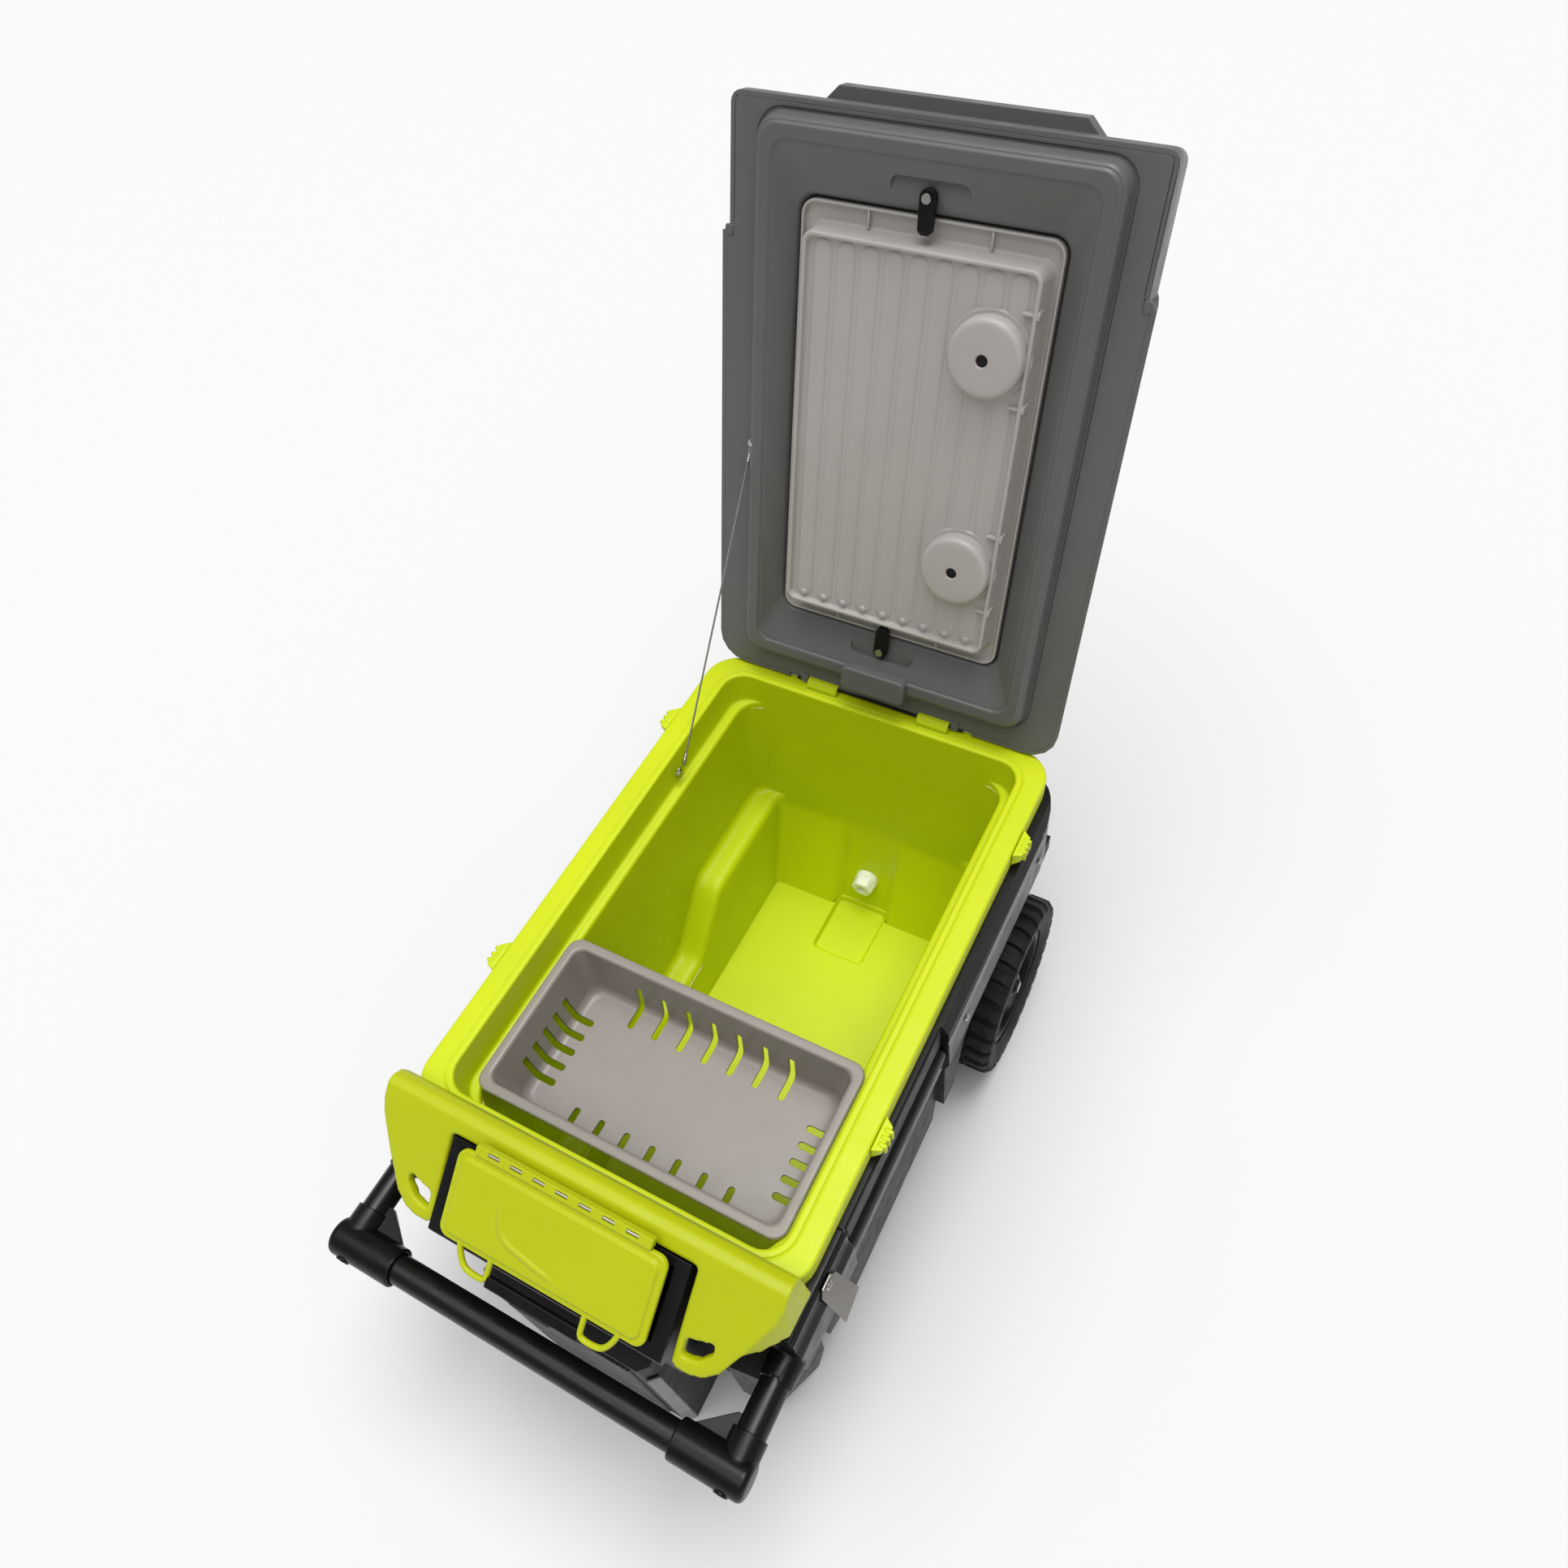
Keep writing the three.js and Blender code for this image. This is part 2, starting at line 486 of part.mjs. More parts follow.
function buildWheels() {
  const mid = (WHEEL_IN + WHEEL_OUT) / 2;
  const w = (WHEEL_OUT - WHEEL_IN) / 2;
  for (const [sideName, side] of [['left', -1], ['right', 1]]) {
    const place = (piece) => mirrored(piece.translate([mid, WHEEL_Y, WHEEL_RADIUS]), side);
    const r = HUB_RADIUS + GAP;
    const tyre = lathed([[r, -w + 6], [100, -w], [118, -w], [WHEEL_RADIUS, -w + 8], [WHEEL_RADIUS, w - 8],
      [118, w], [100, w], [r, w - 6], [r, -w + 6]], 48);
    add(`tyre_${sideName}`, place(tyre), RUBBER);

    const bore = AXLE_RADIUS + 0.4;
    const barrel = lathed([[bore, -26], [17, -26], [17, -4], [72, -4], [72, -w + 8], [HUB_RADIUS, -w + 8],
      [HUB_RADIUS, w - 8], [76, w - 8], [72, 4], [20, 8], [17, w - 9], [bore, w - 9], [bore, -26]], 32);
    const window = hull(points([-30, 30].flatMap((x) => [
      [x, 26, -5], [x, 26, 5], [x, 66, -15], [x, 66, 15]])));
    const windows = Array.from({ length: 8 }, (_, i) => window.rotate([i * 45, 0, 0]));
    add(`wheel_hub_${sideName}`, place(less(barrel, windows)), BLACK);

    const shaft = rod('x', AXLE_RADIUS, 178.6, mid + w - 4, [WHEEL_Y, WHEEL_RADIUS], 12);
    const flange = box(178.5, 184, WHEEL_Y - 34, WHEEL_Y + 34, WHEEL_RADIUS - 34, WHEEL_RADIUS + 34);
    const collar = rod('x', 15, 183, mid - 27, [WHEEL_Y, WHEEL_RADIUS], 12);
    add(`axle_${sideName}`, mirrored(union(shaft, flange, collar), side), STEEL);
  }
}

// ---- handle --------------------------------------------------------------------------------------
function buildHandle() {
  for (const [sideName, side] of [['left', -1], ['right', 1]]) {
    const tube = less(rod('y', TUBE_RADIUS, HANDLE_Y + 22, TUBE_REAR, [TUBE_X, HANDLE_Z], 20),
      rod('y', TUBE_RADIUS - 2, HANDLE_Y + 30, TUBE_REAR + 10, [TUBE_X, HANDLE_Z], 12));
    add(`handle_tube_${sideName}`, mirrored(tube, side), BLACK);

    const sleeve = union(rod('x', TEE_RADIUS, TEE_IN, TEE_OUT - 8, [HANDLE_Y, HANDLE_Z], 20),
      rod('x', TEE_RADIUS, TEE_OUT - 8, TEE_OUT, [HANDLE_Y, HANDLE_Z], 20, TEE_RADIUS - 5));
    const collar = rod('y', TUBE_RADIUS + 3, HANDLE_Y, HANDLE_Y + 36, [TUBE_X, HANDLE_Z], 20);
    const gusset = prismZ([
      [TEE_IN + 4, HANDLE_Y + 12], [TUBE_X - 12, HANDLE_Y + 12], [TUBE_X - 12, HANDLE_Y + 46],
      [TUBE_X - 19, HANDLE_Y + 46]], HANDLE_Z - 4, HANDLE_Z + 4);
    const boss = rod('y', 7, HANDLE_Y - TEE_RADIUS - 2, HANDLE_Y - 10, [TEE_OUT - 22, HANDLE_Z], 12);
    const bores = [rod('x', TUBE_RADIUS + GAP, TEE_IN - 5, TEE_IN + 24, [HANDLE_Y, HANDLE_Z], 20),
      rod('y', TUBE_RADIUS + GAP, HANDLE_Y + 21.5, HANDLE_Y + 60, [TUBE_X, HANDLE_Z], 20)];
    add(`handle_tee_${sideName}`, mirrored(less(union(sleeve, collar, gusset, boss), bores), side), BLACK);
  }
  const grip = less(rod('x', TUBE_RADIUS, -TEE_IN - 22, TEE_IN + 22, [HANDLE_Y, HANDLE_Z], 20),
    rod('x', TUBE_RADIUS - 2.5, -TEE_IN - 30, TEE_IN + 30, [HANDLE_Y, HANDLE_Z], 12));
  add('handle_grip', grip, BLACK);
}

// ---- basket --------------------------------------------------------------------------------------
function buildBasket() {
  const { half, rear, front, top, floor } = BASKET;
  const level = (x, inset, z, radius) => roundedRing(-x, x, front + inset, rear - inset, z, radius, 3);
  const rim = hull(level(half, 0, top - 7.6, 16), level(half, 0, top, 16));
  const outer = hull(level(half - 9, 9, top - 1, 12), level(half - 21, 17, floor, 12));
  const inner = hull(level(half - 12, 12, top + 1, 10), level(half - 24, 20, floor + 3, 10));
  const slots = [];
  const slot = (x0, x1, y0, y1, z0, z1) => slots.push(box(x0, x1, y0, y1, z0, z1));
  for (let i = 0; i < 7; i += 1) {
    const x = (i - 3) * 34.5;
    slot(x - 3.5, x + 3.5, rear - 52, rear - 10, floor - 5, floor + 42);
    slot(x - 3.5, x + 3.5, front + 10, front + 44, floor - 5, floor + 42);
  }
  for (let i = 0; i < 5; i += 1) {
    const y = rear - 67 - i * 20.7;
    slot(-half + 11, -half + 49, y - 3.5, y + 3.5, floor - 5, floor + 42);
    slot(half - 49, half - 11, y - 3.5, y + 3.5, floor - 5, floor + 42);
  }
  add('food_basket', less(union(rim, outer), inner, slots), BASKET_GREY);
}

// ---- lid, drawn shut, then turned open about its hinge -------------------------------------------
// Height, half-width behind the step in the sides, half-width ahead of it, front edge, rear edge.
const LID_LEVELS = [
  [LID_BOTTOM, 237, 228, -650, LID_REAR],
  [460, 235, 228, -650, LID_REAR],
  [490, 228, 226, -645, 24],
  [507, 222, 221, -641, 18],
  [LID_TOP, 214, 213, -632, 8],
];
const LID_STEP_Y = -516;

// The lid's outer form, shrunk by `s` with its top lowered by `drop` and its foot at `bottom`.
function lidBlock(s, bottom, drop) {
  const rings = (column, frontOf, radius) => LID_LEVELS.map((level, i) => ring(level[column] - s,
    frontOf(level), level[4] - s, i === 0 ? bottom : level[0] - drop, radius - s));
  const behindStep = box(-300, 300, LID_STEP_Y + s, 100, 400, 600);
  const rear = hull(...rings(1, () => LID_STEP_Y - 100, 38)).intersect(behindStep);
  const front = hull(...rings(2, (level) => level[3] + s, 12));
  const rearLimit = hull(...rings(2, (level) => level[3] + s, 38));
  return union(rear, front.intersect(box(-300, 300, -800, -300, 400, 600)), rearLimit);
}

function buildLid() {
  const put = (name, piece, material) => add(name, piece.translate([0, -HINGE_Y, -HINGE_Z]), material, lid);
  const lip = prismZ([[-150, -637], [-128, -658], [128, -658], [150, -637]], 489, 506);
  const pinCut = rod('x', PIN_RADIUS + 0.4, -130, 130, [HINGE_Y, HINGE_Z], 12);
  const knuckleGap = [-1, 1].map((side) => mirrored(box(56, 101.5, 5, 40, 430, 462), side));
  const middleGap = box(-56.5, 56.5, 9, 40, 430, 458.5);
  const lugs = [-1, 1].map((side) => mirrored(box(102, 112, 14, LID_REAR, 445.2, 456), side));
  const frame = less(union(lidBlock(0, LID_BOTTOM, 0), lip), lidBlock(5, LID_BOTTOM - 5, 4));
  put('lid_shell', less(union(less(frame, knuckleGap, middleGap), lugs), pinCut), LID_GREY);

  // Underside: a raised sealing plug round a tapered recess that holds the serving tray.
  const plateLayer = box(-300, 300, -800, 0, LID_BOTTOM, LID_BOTTOM + 4);
  const plate = lidBlock(5.4, LID_BOTTOM - 5, 4).intersect(plateLayer);
  const plug = hull(ring(194, -638, -8, LID_BOTTOM + 1, 26), ring(186, -630, -16, PLUG_BOTTOM + 4, 22),
    ring(182, -626, -20, PLUG_BOTTOM, 20));
  const tongue = prismX([[-2.5, LID_BOTTOM + 1], [-2.5, 442], [-6, 437], [-30, PLUG_BOTTOM],
    [-30, LID_BOTTOM + 1]].reverse(), -44, 44);
  const recessRing = (grow, z) => ring(
    RECESS_HALF + grow, RECESS_FRONT - grow, RECESS_REAR + grow, z, 18 + grow);
  const trough = hull(recessRing(4, LID_BOTTOM), recessRing(4, RECESS_FLOOR + 3.5));
  const bevel = hull(ring(172, -616, -31, PLUG_BOTTOM - 1, 20), recessRing(2, LID_BOTTOM + 1));
  const recess = hull(recessRing(0, LID_BOTTOM - 2), recessRing(0, RECESS_FLOOR));
  const pockets = [[-597, -560], [-84, -50]].map(([y0, y1]) => box(-42, 42, y0, y1, 400, 441.5));
  const screwHoles = [CLIP_FRONT_Y, CLIP_REAR_Y].map((y) => rod('z', 3.1, 420, 446.4, [0, y], 10));
  put('lid_liner', less(union(plate, plug, trough, tongue), bevel, recess, pockets, screwHoles), LID_GREY);

  const foamLayer = box(-300, 300, -800, 0, LID_BOTTOM + 4.3, LID_TOP);
  const foamHole = hull(recessRing(4.4, LID_BOTTOM), recessRing(4.4, RECESS_FLOOR + 3.9));
  put('lid_foam', less(lidBlock(5.8, LID_BOTTOM - 5, 4.8).intersect(foamLayer), foamHole), FOAM);

  // Serving tray, clipped in with its open side towards the lid.
  const trayRing = (inset, z) => ring(
    RECESS_HALF - 2 - inset, RECESS_FRONT + 2 + inset, RECESS_REAR - 2 - inset,
    z, 16 - inset, 3);
  const flange = hull(trayRing(0, 452), trayRing(0, 456));
  const flangeWall = less(hull(trayRing(0, 445), trayRing(0, 455)),
    hull(trayRing(2.5, 440), trayRing(2.5, 452)));
  const dishRing = (inset, z) => ring(133 - inset, -540 + inset, -102 - inset, z, 14 - inset, 3);
  const dish = hull(dishRing(0, 455), dishRing(3, TRAY_BOTTOM));
  const dishHollow = hull(dishRing(3, 457), dishRing(5.5, TRAY_BOTTOM + 2.5));
  const foot = less(hull(dishRing(3, TRAY_BOTTOM + 2), dishRing(4, TRAY_FOOT)),
    hull(dishRing(8, TRAY_BOTTOM), dishRing(8, TRAY_FOOT - 1)));
  const cups = CUP_YS.map((y) => rod('z', CUP_RADIUS, CUP_BOTTOM, TRAY_BOTTOM + 3, [CUP_X, y], 24,
    CUP_RADIUS + 2));
  const wells = CUP_YS.map((y) => rod(
    'z', CUP_RADIUS - 2.5, CUP_BOTTOM + 2.5, TRAY_BOTTOM + 10, [CUP_X, y], 24));
  const holes = CUP_YS.map((y) => rod('z', 6, 400, 440, [CUP_X - 2, y], 12));
  put('serving_tray', less(union(flange, flangeWall, dish, foot, cups), dishHollow, wells, holes), TRAY_GREY);

  const clip = (name, pivotY, direction) => {
    const pivot = [0, pivotY];
    const arm = prismZ([[-9, 0], [9, 0], [8, 30], [4, 34], [-4, 34], [-8, 30]], 433.5, 440.8);
    const turned = arm.rotate([0, 0, direction > 0 ? 0 : 180]).translate([0, pivotY, 0]);
    const eye = rod('z', 9, 433.5, 440.8, pivot, 16);
    put(name, less(union(turned, eye), rod('z', 3.3, 430, 445, pivot, 10)), BLACK);
    const screw = union(rod('z', 2.8, 430.5, 446, pivot, 10), rod('z', 5, 430, 433.2, pivot, 10));
    put(`${name}_screw`, screw, STEEL);
  };
  clip('tray_clip_front', CLIP_FRONT_Y, 1);
  clip('tray_clip_rear', CLIP_REAR_Y, -1);

  lid.position.set(0, HINGE_Y, HINGE_Z);
  lid.rotation.x = -THREE.MathUtils.degToRad(LID_OPEN);
  cooler.add(lid);
}

// ---- stay cable ----------------------------------------------------------------------------------
const STAY_TUB = new THREE.Vector3(-203, -157, 419);
const STAY_LID_SHUT = new THREE.Vector3(-199, -291, 444.5);

function openedPoint(point) {
  const offset = point.clone().sub(new THREE.Vector3(0, HINGE_Y, HINGE_Z));
  return offset.applyAxisAngle(new THREE.Vector3(1, 0, 0), -THREE.MathUtils.degToRad(LID_OPEN))
    .add(new THREE.Vector3(0, HINGE_Y, HINGE_Z));
}

function buildStay() {
  const lidEnd = openedPoint(STAY_LID_SHUT);
  const from = STAY_TUB.clone().add(new THREE.Vector3(7, 0, 6));
  const to = lidEnd.clone().add(new THREE.Vector3(5, -3, -7));
  const section = Array.from({ length: 8 }, (_, i) => [CABLE_RADIUS * Math.cos(i * Math.PI / 4),
    CABLE_RADIUS * Math.sin(i * Math.PI / 4)]);
  const course = { steps: 12, extrudePath: new THREE.LineCurve3(from, to), bevelEnabled: false };
  const geometry = new THREE.ExtrudeGeometry(shapeOf(section), course);
  add('stay_cable', solid(geometry), STEEL);
  const screwAt = [STAY_TUB.y - 9, STAY_TUB.z - 1];
  add('stay_screw_tub', rod('x', 5.5, STAY_TUB.x + 2.6, STAY_TUB.x + 7, screwAt, 10), STEEL);
}

buildTub();
buildBumper();
buildCleats();
buildHinge();
buildSides();
buildScrews();
buildOpener();
buildBin();
buildFlap();
buildFeet();
buildDrain();
buildWheels();
buildHandle();
buildBasket();
buildLid();
buildStay();

cooler.position.y = -FOOTPRINT_MID_Y;
export default cooler;
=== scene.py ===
# Wheeled cooler with its lid open: looks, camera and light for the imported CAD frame.
import bmesh
import bpy
import json
import math
from mathutils import Matrix, Vector

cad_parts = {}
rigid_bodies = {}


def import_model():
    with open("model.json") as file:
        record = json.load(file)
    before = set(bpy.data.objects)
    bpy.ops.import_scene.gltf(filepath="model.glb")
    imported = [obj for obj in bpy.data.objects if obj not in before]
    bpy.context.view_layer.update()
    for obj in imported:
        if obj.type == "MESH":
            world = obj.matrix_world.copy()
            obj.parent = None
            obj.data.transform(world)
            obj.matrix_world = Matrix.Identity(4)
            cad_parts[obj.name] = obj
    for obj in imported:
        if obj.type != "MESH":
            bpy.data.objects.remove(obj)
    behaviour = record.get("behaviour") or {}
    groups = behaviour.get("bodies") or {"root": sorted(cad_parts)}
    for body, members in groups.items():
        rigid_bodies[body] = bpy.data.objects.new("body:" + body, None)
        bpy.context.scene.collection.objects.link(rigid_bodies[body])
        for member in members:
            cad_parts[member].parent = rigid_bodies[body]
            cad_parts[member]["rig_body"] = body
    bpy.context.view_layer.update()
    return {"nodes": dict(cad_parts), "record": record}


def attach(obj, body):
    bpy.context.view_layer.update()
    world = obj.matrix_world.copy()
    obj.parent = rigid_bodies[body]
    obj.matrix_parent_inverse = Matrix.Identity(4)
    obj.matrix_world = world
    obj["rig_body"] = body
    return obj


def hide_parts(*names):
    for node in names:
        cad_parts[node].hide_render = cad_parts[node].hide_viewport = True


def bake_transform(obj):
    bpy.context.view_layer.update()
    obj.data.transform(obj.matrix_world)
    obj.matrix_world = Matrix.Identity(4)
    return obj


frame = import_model()
NODES = frame["nodes"]

# ---- frame: here y counts from the rear edge of the tub's mouth, in millimetres --------------
MM = 0.001
SHIFT = 288.1
HINGE = (24.0, 449.0)
LID_OPEN = 106.0


def at(x, y, z):
    return Vector((x, y + SHIFT, z)) * MM


def turned(p):
    """A point of the shut lid, in millimetres, where the open lid has it."""
    a = math.radians(LID_OPEN)
    dy, dz = p[1] - HINGE[0], p[2] - HINGE[1]
    return (p[0], HINGE[0] + dy * math.cos(a) + dz * math.sin(a),
            HINGE[1] - dy * math.sin(a) + dz * math.cos(a))


# ---- camera --------------------------------------------------------------------------------------
CAMERA_PLACE = (453.3, -863.4, 1618.6)
CAMERA_TURNS = (-35.05, 53.06, -9.02)
CAMERA_LENS = 26.894


def add_camera():
    yaw, pitch, roll = (math.radians(v) for v in CAMERA_TURNS)
    look = Vector((math.sin(yaw) * math.cos(pitch), math.cos(yaw) * math.cos(pitch), -math.sin(pitch)))
    side = look.cross(Vector((0, 0, 1))).normalized()
    up = side.cross(look)
    right = side * math.cos(roll) + up * math.sin(roll)
    top = -side * math.sin(roll) + up * math.cos(roll)
    data = bpy.data.cameras.new("camera")
    data.lens = CAMERA_LENS
    data.sensor_width = 36
    camera = bpy.data.objects.new("camera", data)
    bpy.context.scene.collection.objects.link(camera)
    matrix = Matrix((right, top, -look)).transposed().to_4x4()
    matrix.translation = at(*CAMERA_PLACE)
    camera.matrix_world = matrix
    bpy.context.scene.camera = camera


add_camera()


# ---- materials -----------------------------------------------------------------------------------
GLOSS_SPAN = 0.08


def material(name, color, rough, metal=0.0, mottle=0.05, grain=900.0, bump=0.04, relief=0.0002,
             wear=0.25, wear_color=None, edge=0.0012, brushed=None, specular=0.5, mesh=0.0):
    """Moulded plastic, rubber or metal: drifting colour, uneven gloss, fine grain, worn edges."""
    mat = bpy.data.materials.new(name)
    mat.use_nodes = True
    nodes, links = mat.node_tree.nodes, mat.node_tree.links
    shader = nodes["Principled BSDF"]
    shader.inputs["Metallic"].default_value = metal
    shader.inputs["Specular IOR Level"].default_value = specular
    where = nodes.new("ShaderNodeTexCoord")
    place = nodes.new("ShaderNodeMapping")
    if brushed:
        place.inputs["Scale"].default_value = brushed
    links.new(where.outputs["Object"], place.inputs["Vector"])

    drift = nodes.new("ShaderNodeTexNoise")
    drift.inputs["Scale"].default_value = 7.0
    drift.inputs["Detail"].default_value = 5.0
    drift.inputs["Roughness"].default_value = 0.6
    links.new(where.outputs["Object"], drift.inputs["Vector"])
    tone = nodes.new("ShaderNodeValToRGB")
    dark = [c * (1 - mottle) for c in color]
    light = [min(1.0, c * (1 + mottle)) for c in color]
    tone.color_ramp.elements[0].position = 0.3
    tone.color_ramp.elements[0].color = (*dark, 1)
    tone.color_ramp.elements[1].position = 0.7
    tone.color_ramp.elements[1].color = (*light, 1)
    links.new(drift.outputs["Fac"], tone.inputs["Fac"])

    shape = nodes.new("ShaderNodeNewGeometry")
    rim = nodes.new("ShaderNodeMapRange")
    rim.inputs["From Min"].default_value = 0.515
    rim.inputs["From Max"].default_value = 0.60
    rim.inputs["To Max"].default_value = wear
    links.new(shape.outputs["Pointiness"], rim.inputs["Value"])
    worn = nodes.new("ShaderNodeMix")
    worn.data_type = "RGBA"
    pale = wear_color or [min(1.0, c * 1.25 + 0.03) for c in color]
    worn.inputs["B"].default_value = (*pale, 1)
    links.new(tone.outputs["Color"], worn.inputs["A"])
    links.new(rim.outputs["Result"], worn.inputs["Factor"])
    links.new(worn.outputs["Result"], shader.inputs["Base Color"])

    scuff = nodes.new("ShaderNodeTexNoise")
    scuff.inputs["Scale"].default_value = 38.0
    scuff.inputs["Detail"].default_value = 6.0
    links.new(place.outputs["Vector"], scuff.inputs["Vector"])
    gloss = nodes.new("ShaderNodeMapRange")
    gloss.inputs["From Min"].default_value = 0.3
    gloss.inputs["From Max"].default_value = 0.7
    gloss.inputs["To Min"].default_value = rough - GLOSS_SPAN
    gloss.inputs["To Max"].default_value = rough + GLOSS_SPAN
    links.new(scuff.outputs["Fac"], gloss.inputs["Value"])
    links.new(gloss.outputs["Result"], shader.inputs["Roughness"])

    grainy = nodes.new("ShaderNodeTexNoise")
    grainy.inputs["Scale"].default_value = grain
    grainy.inputs["Detail"].default_value = 2.0
    links.new(place.outputs["Vector"], grainy.inputs["Vector"])
    relief_node = nodes.new("ShaderNodeBump")
    relief_node.inputs["Strength"].default_value = bump
    relief_node.inputs["Distance"].default_value = relief
    links.new(grainy.outputs["Fac"], relief_node.inputs["Height"])
    if mesh:
        add_mesh_relief(nodes, links, where, relief_node, mesh)
    if edge:
        rounded_edge = nodes.new("ShaderNodeBevel")
        rounded_edge.samples = 4
        rounded_edge.inputs["Radius"].default_value = edge
        links.new(rounded_edge.outputs["Normal"], relief_node.inputs["Normal"])
    links.new(relief_node.outputs["Normal"], shader.inputs["Normal"])
    return mat


def add_mesh_relief(nodes, links, where, relief_node, pitch):
    """A woven pattern of crossing bars in place of the grain."""
    waves = []
    for angle in (45, -45):
        turn = nodes.new("ShaderNodeMapping")
        turn.inputs["Rotation"].default_value = (0, math.radians(angle), 0)
        links.new(where.outputs["Object"], turn.inputs["Vector"])
        wave = nodes.new("ShaderNodeTexWave")
        wave.bands_direction = "X"
        wave.inputs["Scale"].default_value = 0.314 / pitch
        links.new(turn.outputs["Vector"], wave.inputs["Vector"])
        waves.append(wave)
    higher = nodes.new("ShaderNodeMath")
    higher.operation = "MAXIMUM"
    for wave, socket in zip(waves, higher.inputs):
        links.new(wave.outputs["Fac"], socket)
    links.new(higher.outputs["Value"], relief_node.inputs["Height"])


FINISHES_AND_PAINTED_SHADE = {
    "lime_plastic": dict(color=(0.555, 0.650, 0.003), rough=0.42, mottle=0.03, bump=0.10, wear=0.10,
                         edge=0.0015, specular=0.30),
    # A darker copy of the lime plastic: painted shade for the front bumper, flap and hinge leaf.
    "lime_in_painted_shade": dict(color=(0.445, 0.495, 0.003), rough=0.42, mottle=0.03, bump=0.10, wear=0.10,
                       edge=0.0015, specular=0.30),
    "black_plastic": dict(color=(0.0045, 0.0045, 0.005), rough=0.30, mottle=0.12, bump=0.12, wear=0.10,
                          edge=0.0015, specular=0.20),
    "charcoal_plastic": dict(color=(0.010, 0.010, 0.011), rough=0.46, mottle=0.14, grain=1500, bump=0.5,
                             relief=0.0004, wear=0.12, specular=0.20),
    "handle_tube": dict(color=(0.0045, 0.0045, 0.005), rough=0.28, mottle=0.10, bump=0.06, wear=0.1,
                        edge=0.0, specular=0.28),
    "lid_plastic": dict(color=(0.116, 0.118, 0.116), rough=0.40, mottle=0.05, bump=0.14, wear=0.15,
                        edge=0.0015, specular=0.4),
    "tray_plastic": dict(color=(0.42, 0.395, 0.375), rough=0.42, mottle=0.04, bump=0.10, wear=0.12),
    "basket_plastic": dict(color=(0.258, 0.232, 0.210), rough=0.36, mottle=0.04, bump=0.12, wear=0.15),
    "tyre_rubber": dict(color=(0.008, 0.008, 0.008), rough=0.62, mottle=0.2, grain=700, bump=0.3,
                        relief=0.0004, wear=0.15, wear_color=(0.03, 0.029, 0.028), specular=0.22),
    "stainless_steel": dict(color=(0.47, 0.45, 0.425), rough=0.27, metal=1.0, mottle=0.06, grain=300,
                            bump=0.10, wear=0.2, brushed=(1, 14, 14), edge=0.0006),
    "opener_steel": dict(color=(0.23, 0.22, 0.205), rough=0.36, metal=1.0, mottle=0.08, grain=300,
                         bump=0.10, wear=0.2, brushed=(1, 14, 14), edge=0.0006),
    "trim_plastic": dict(color=(0.17, 0.166, 0.16), rough=0.32, mottle=0.05, bump=0.08, wear=0.1),
    "drain_plastic": dict(color=(0.86, 0.88, 0.76), rough=0.40, mottle=0.04, bump=0.08, wear=0.1),
    "foam": dict(color=(0.78, 0.70, 0.42), rough=0.9, mottle=0.12, grain=350, bump=0.7, relief=0.001,
                 wear=0.1),
    "mesh_plastic": dict(color=(0.009, 0.009, 0.010), rough=0.45, mottle=0.1, bump=0.9, relief=0.0012,
                         wear=0.1, specular=0.35, mesh=0.009),
}
MATERIALS = {name: material(name, **finish_or_shade) for name, finish_or_shade in FINISHES_AND_PAINTED_SHADE.items()}
SLOT_OF = {part["node"]: part["material_slot"] for part in frame["record"]["subparts"]}


def paint(obj, slot):
    obj.data.materials.clear()
    obj.data.materials.append(MATERIALS[slot])


# ---- mesh tools ----------------------------------------------------------------------------------
def smooth(mesh, sharp=None):
    mesh.shade_smooth()
    if sharp is not None:
        mesh.set_sharp_from_angle(angle=math.radians(sharp))


def weigh(obj):
    modifier = obj.modifiers.new("even_normals", "WEIGHTED_NORMAL")
    modifier.keep_sharp = True
    modifier.weight = 100


MERGE = 0.02
NO_LENGTH = 0.005


def clean(mesh):
    """Joins double points, drops what that leaves, and turns all faces out."""
    bm = bmesh.new()
    bm.from_mesh(mesh)
    bmesh.ops.remove_doubles(bm, verts=bm.verts, dist=MERGE * MM)
    bmesh.ops.dissolve_degenerate(bm, dist=NO_LENGTH * MM, edges=bm.edges)
    bmesh.ops.recalc_face_normals(bm, faces=bm.faces)
    bm.to_mesh(mesh)
    bm.free()


def piece(name, shapes, slot, body, replaces=(), in_lid=False, sharp=38, even=True):
    """One object from shapes, each (points in millimetres, faces), riding on a body."""
    points, faces = [], []
    for shape_points, shape_faces in shapes:
        start = len(points)
        for p in shape_points:
            points.append(at(*(turned(p) if in_lid else p)))
        faces.extend([[start + i for i in f] for f in shape_faces])
    mesh = bpy.data.meshes.new(name)
    mesh.from_pydata(points, [], faces)
    clean(mesh)
    smooth(mesh, sharp)
    obj = bpy.data.objects.new(name, mesh)
    bpy.context.scene.collection.objects.link(obj)
    paint(obj, slot)
    if even:
        weigh(obj)
    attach(obj, body)
    if replaces:
        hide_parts(*replaces)
    return obj


def rounded_path(path, radii, steps):
    """A polyline with its inner corners rounded; each corner gives the same number of points."""
    out = []
    for i, (p, radius) in enumerate(zip(path, radii)):
        if not radius or i in (0, len(path) - 1):
            out.append(p)
            continue
        a, b = path[i - 1] - p, path[i + 1] - p
        la, lb = a.length, b.length
        reach = min(radius, 0.47 * la, 0.47 * lb)
        start = p + a * (reach / la) if la > 1e-6 else p
        end = p + b * (reach / lb) if lb > 1e-6 else p
        for k in range(steps + 1):
            t = k / steps
            out.append(start * (1 - t) ** 2 + p * (2 * t * (1 - t)) + end * t ** 2)
    return out


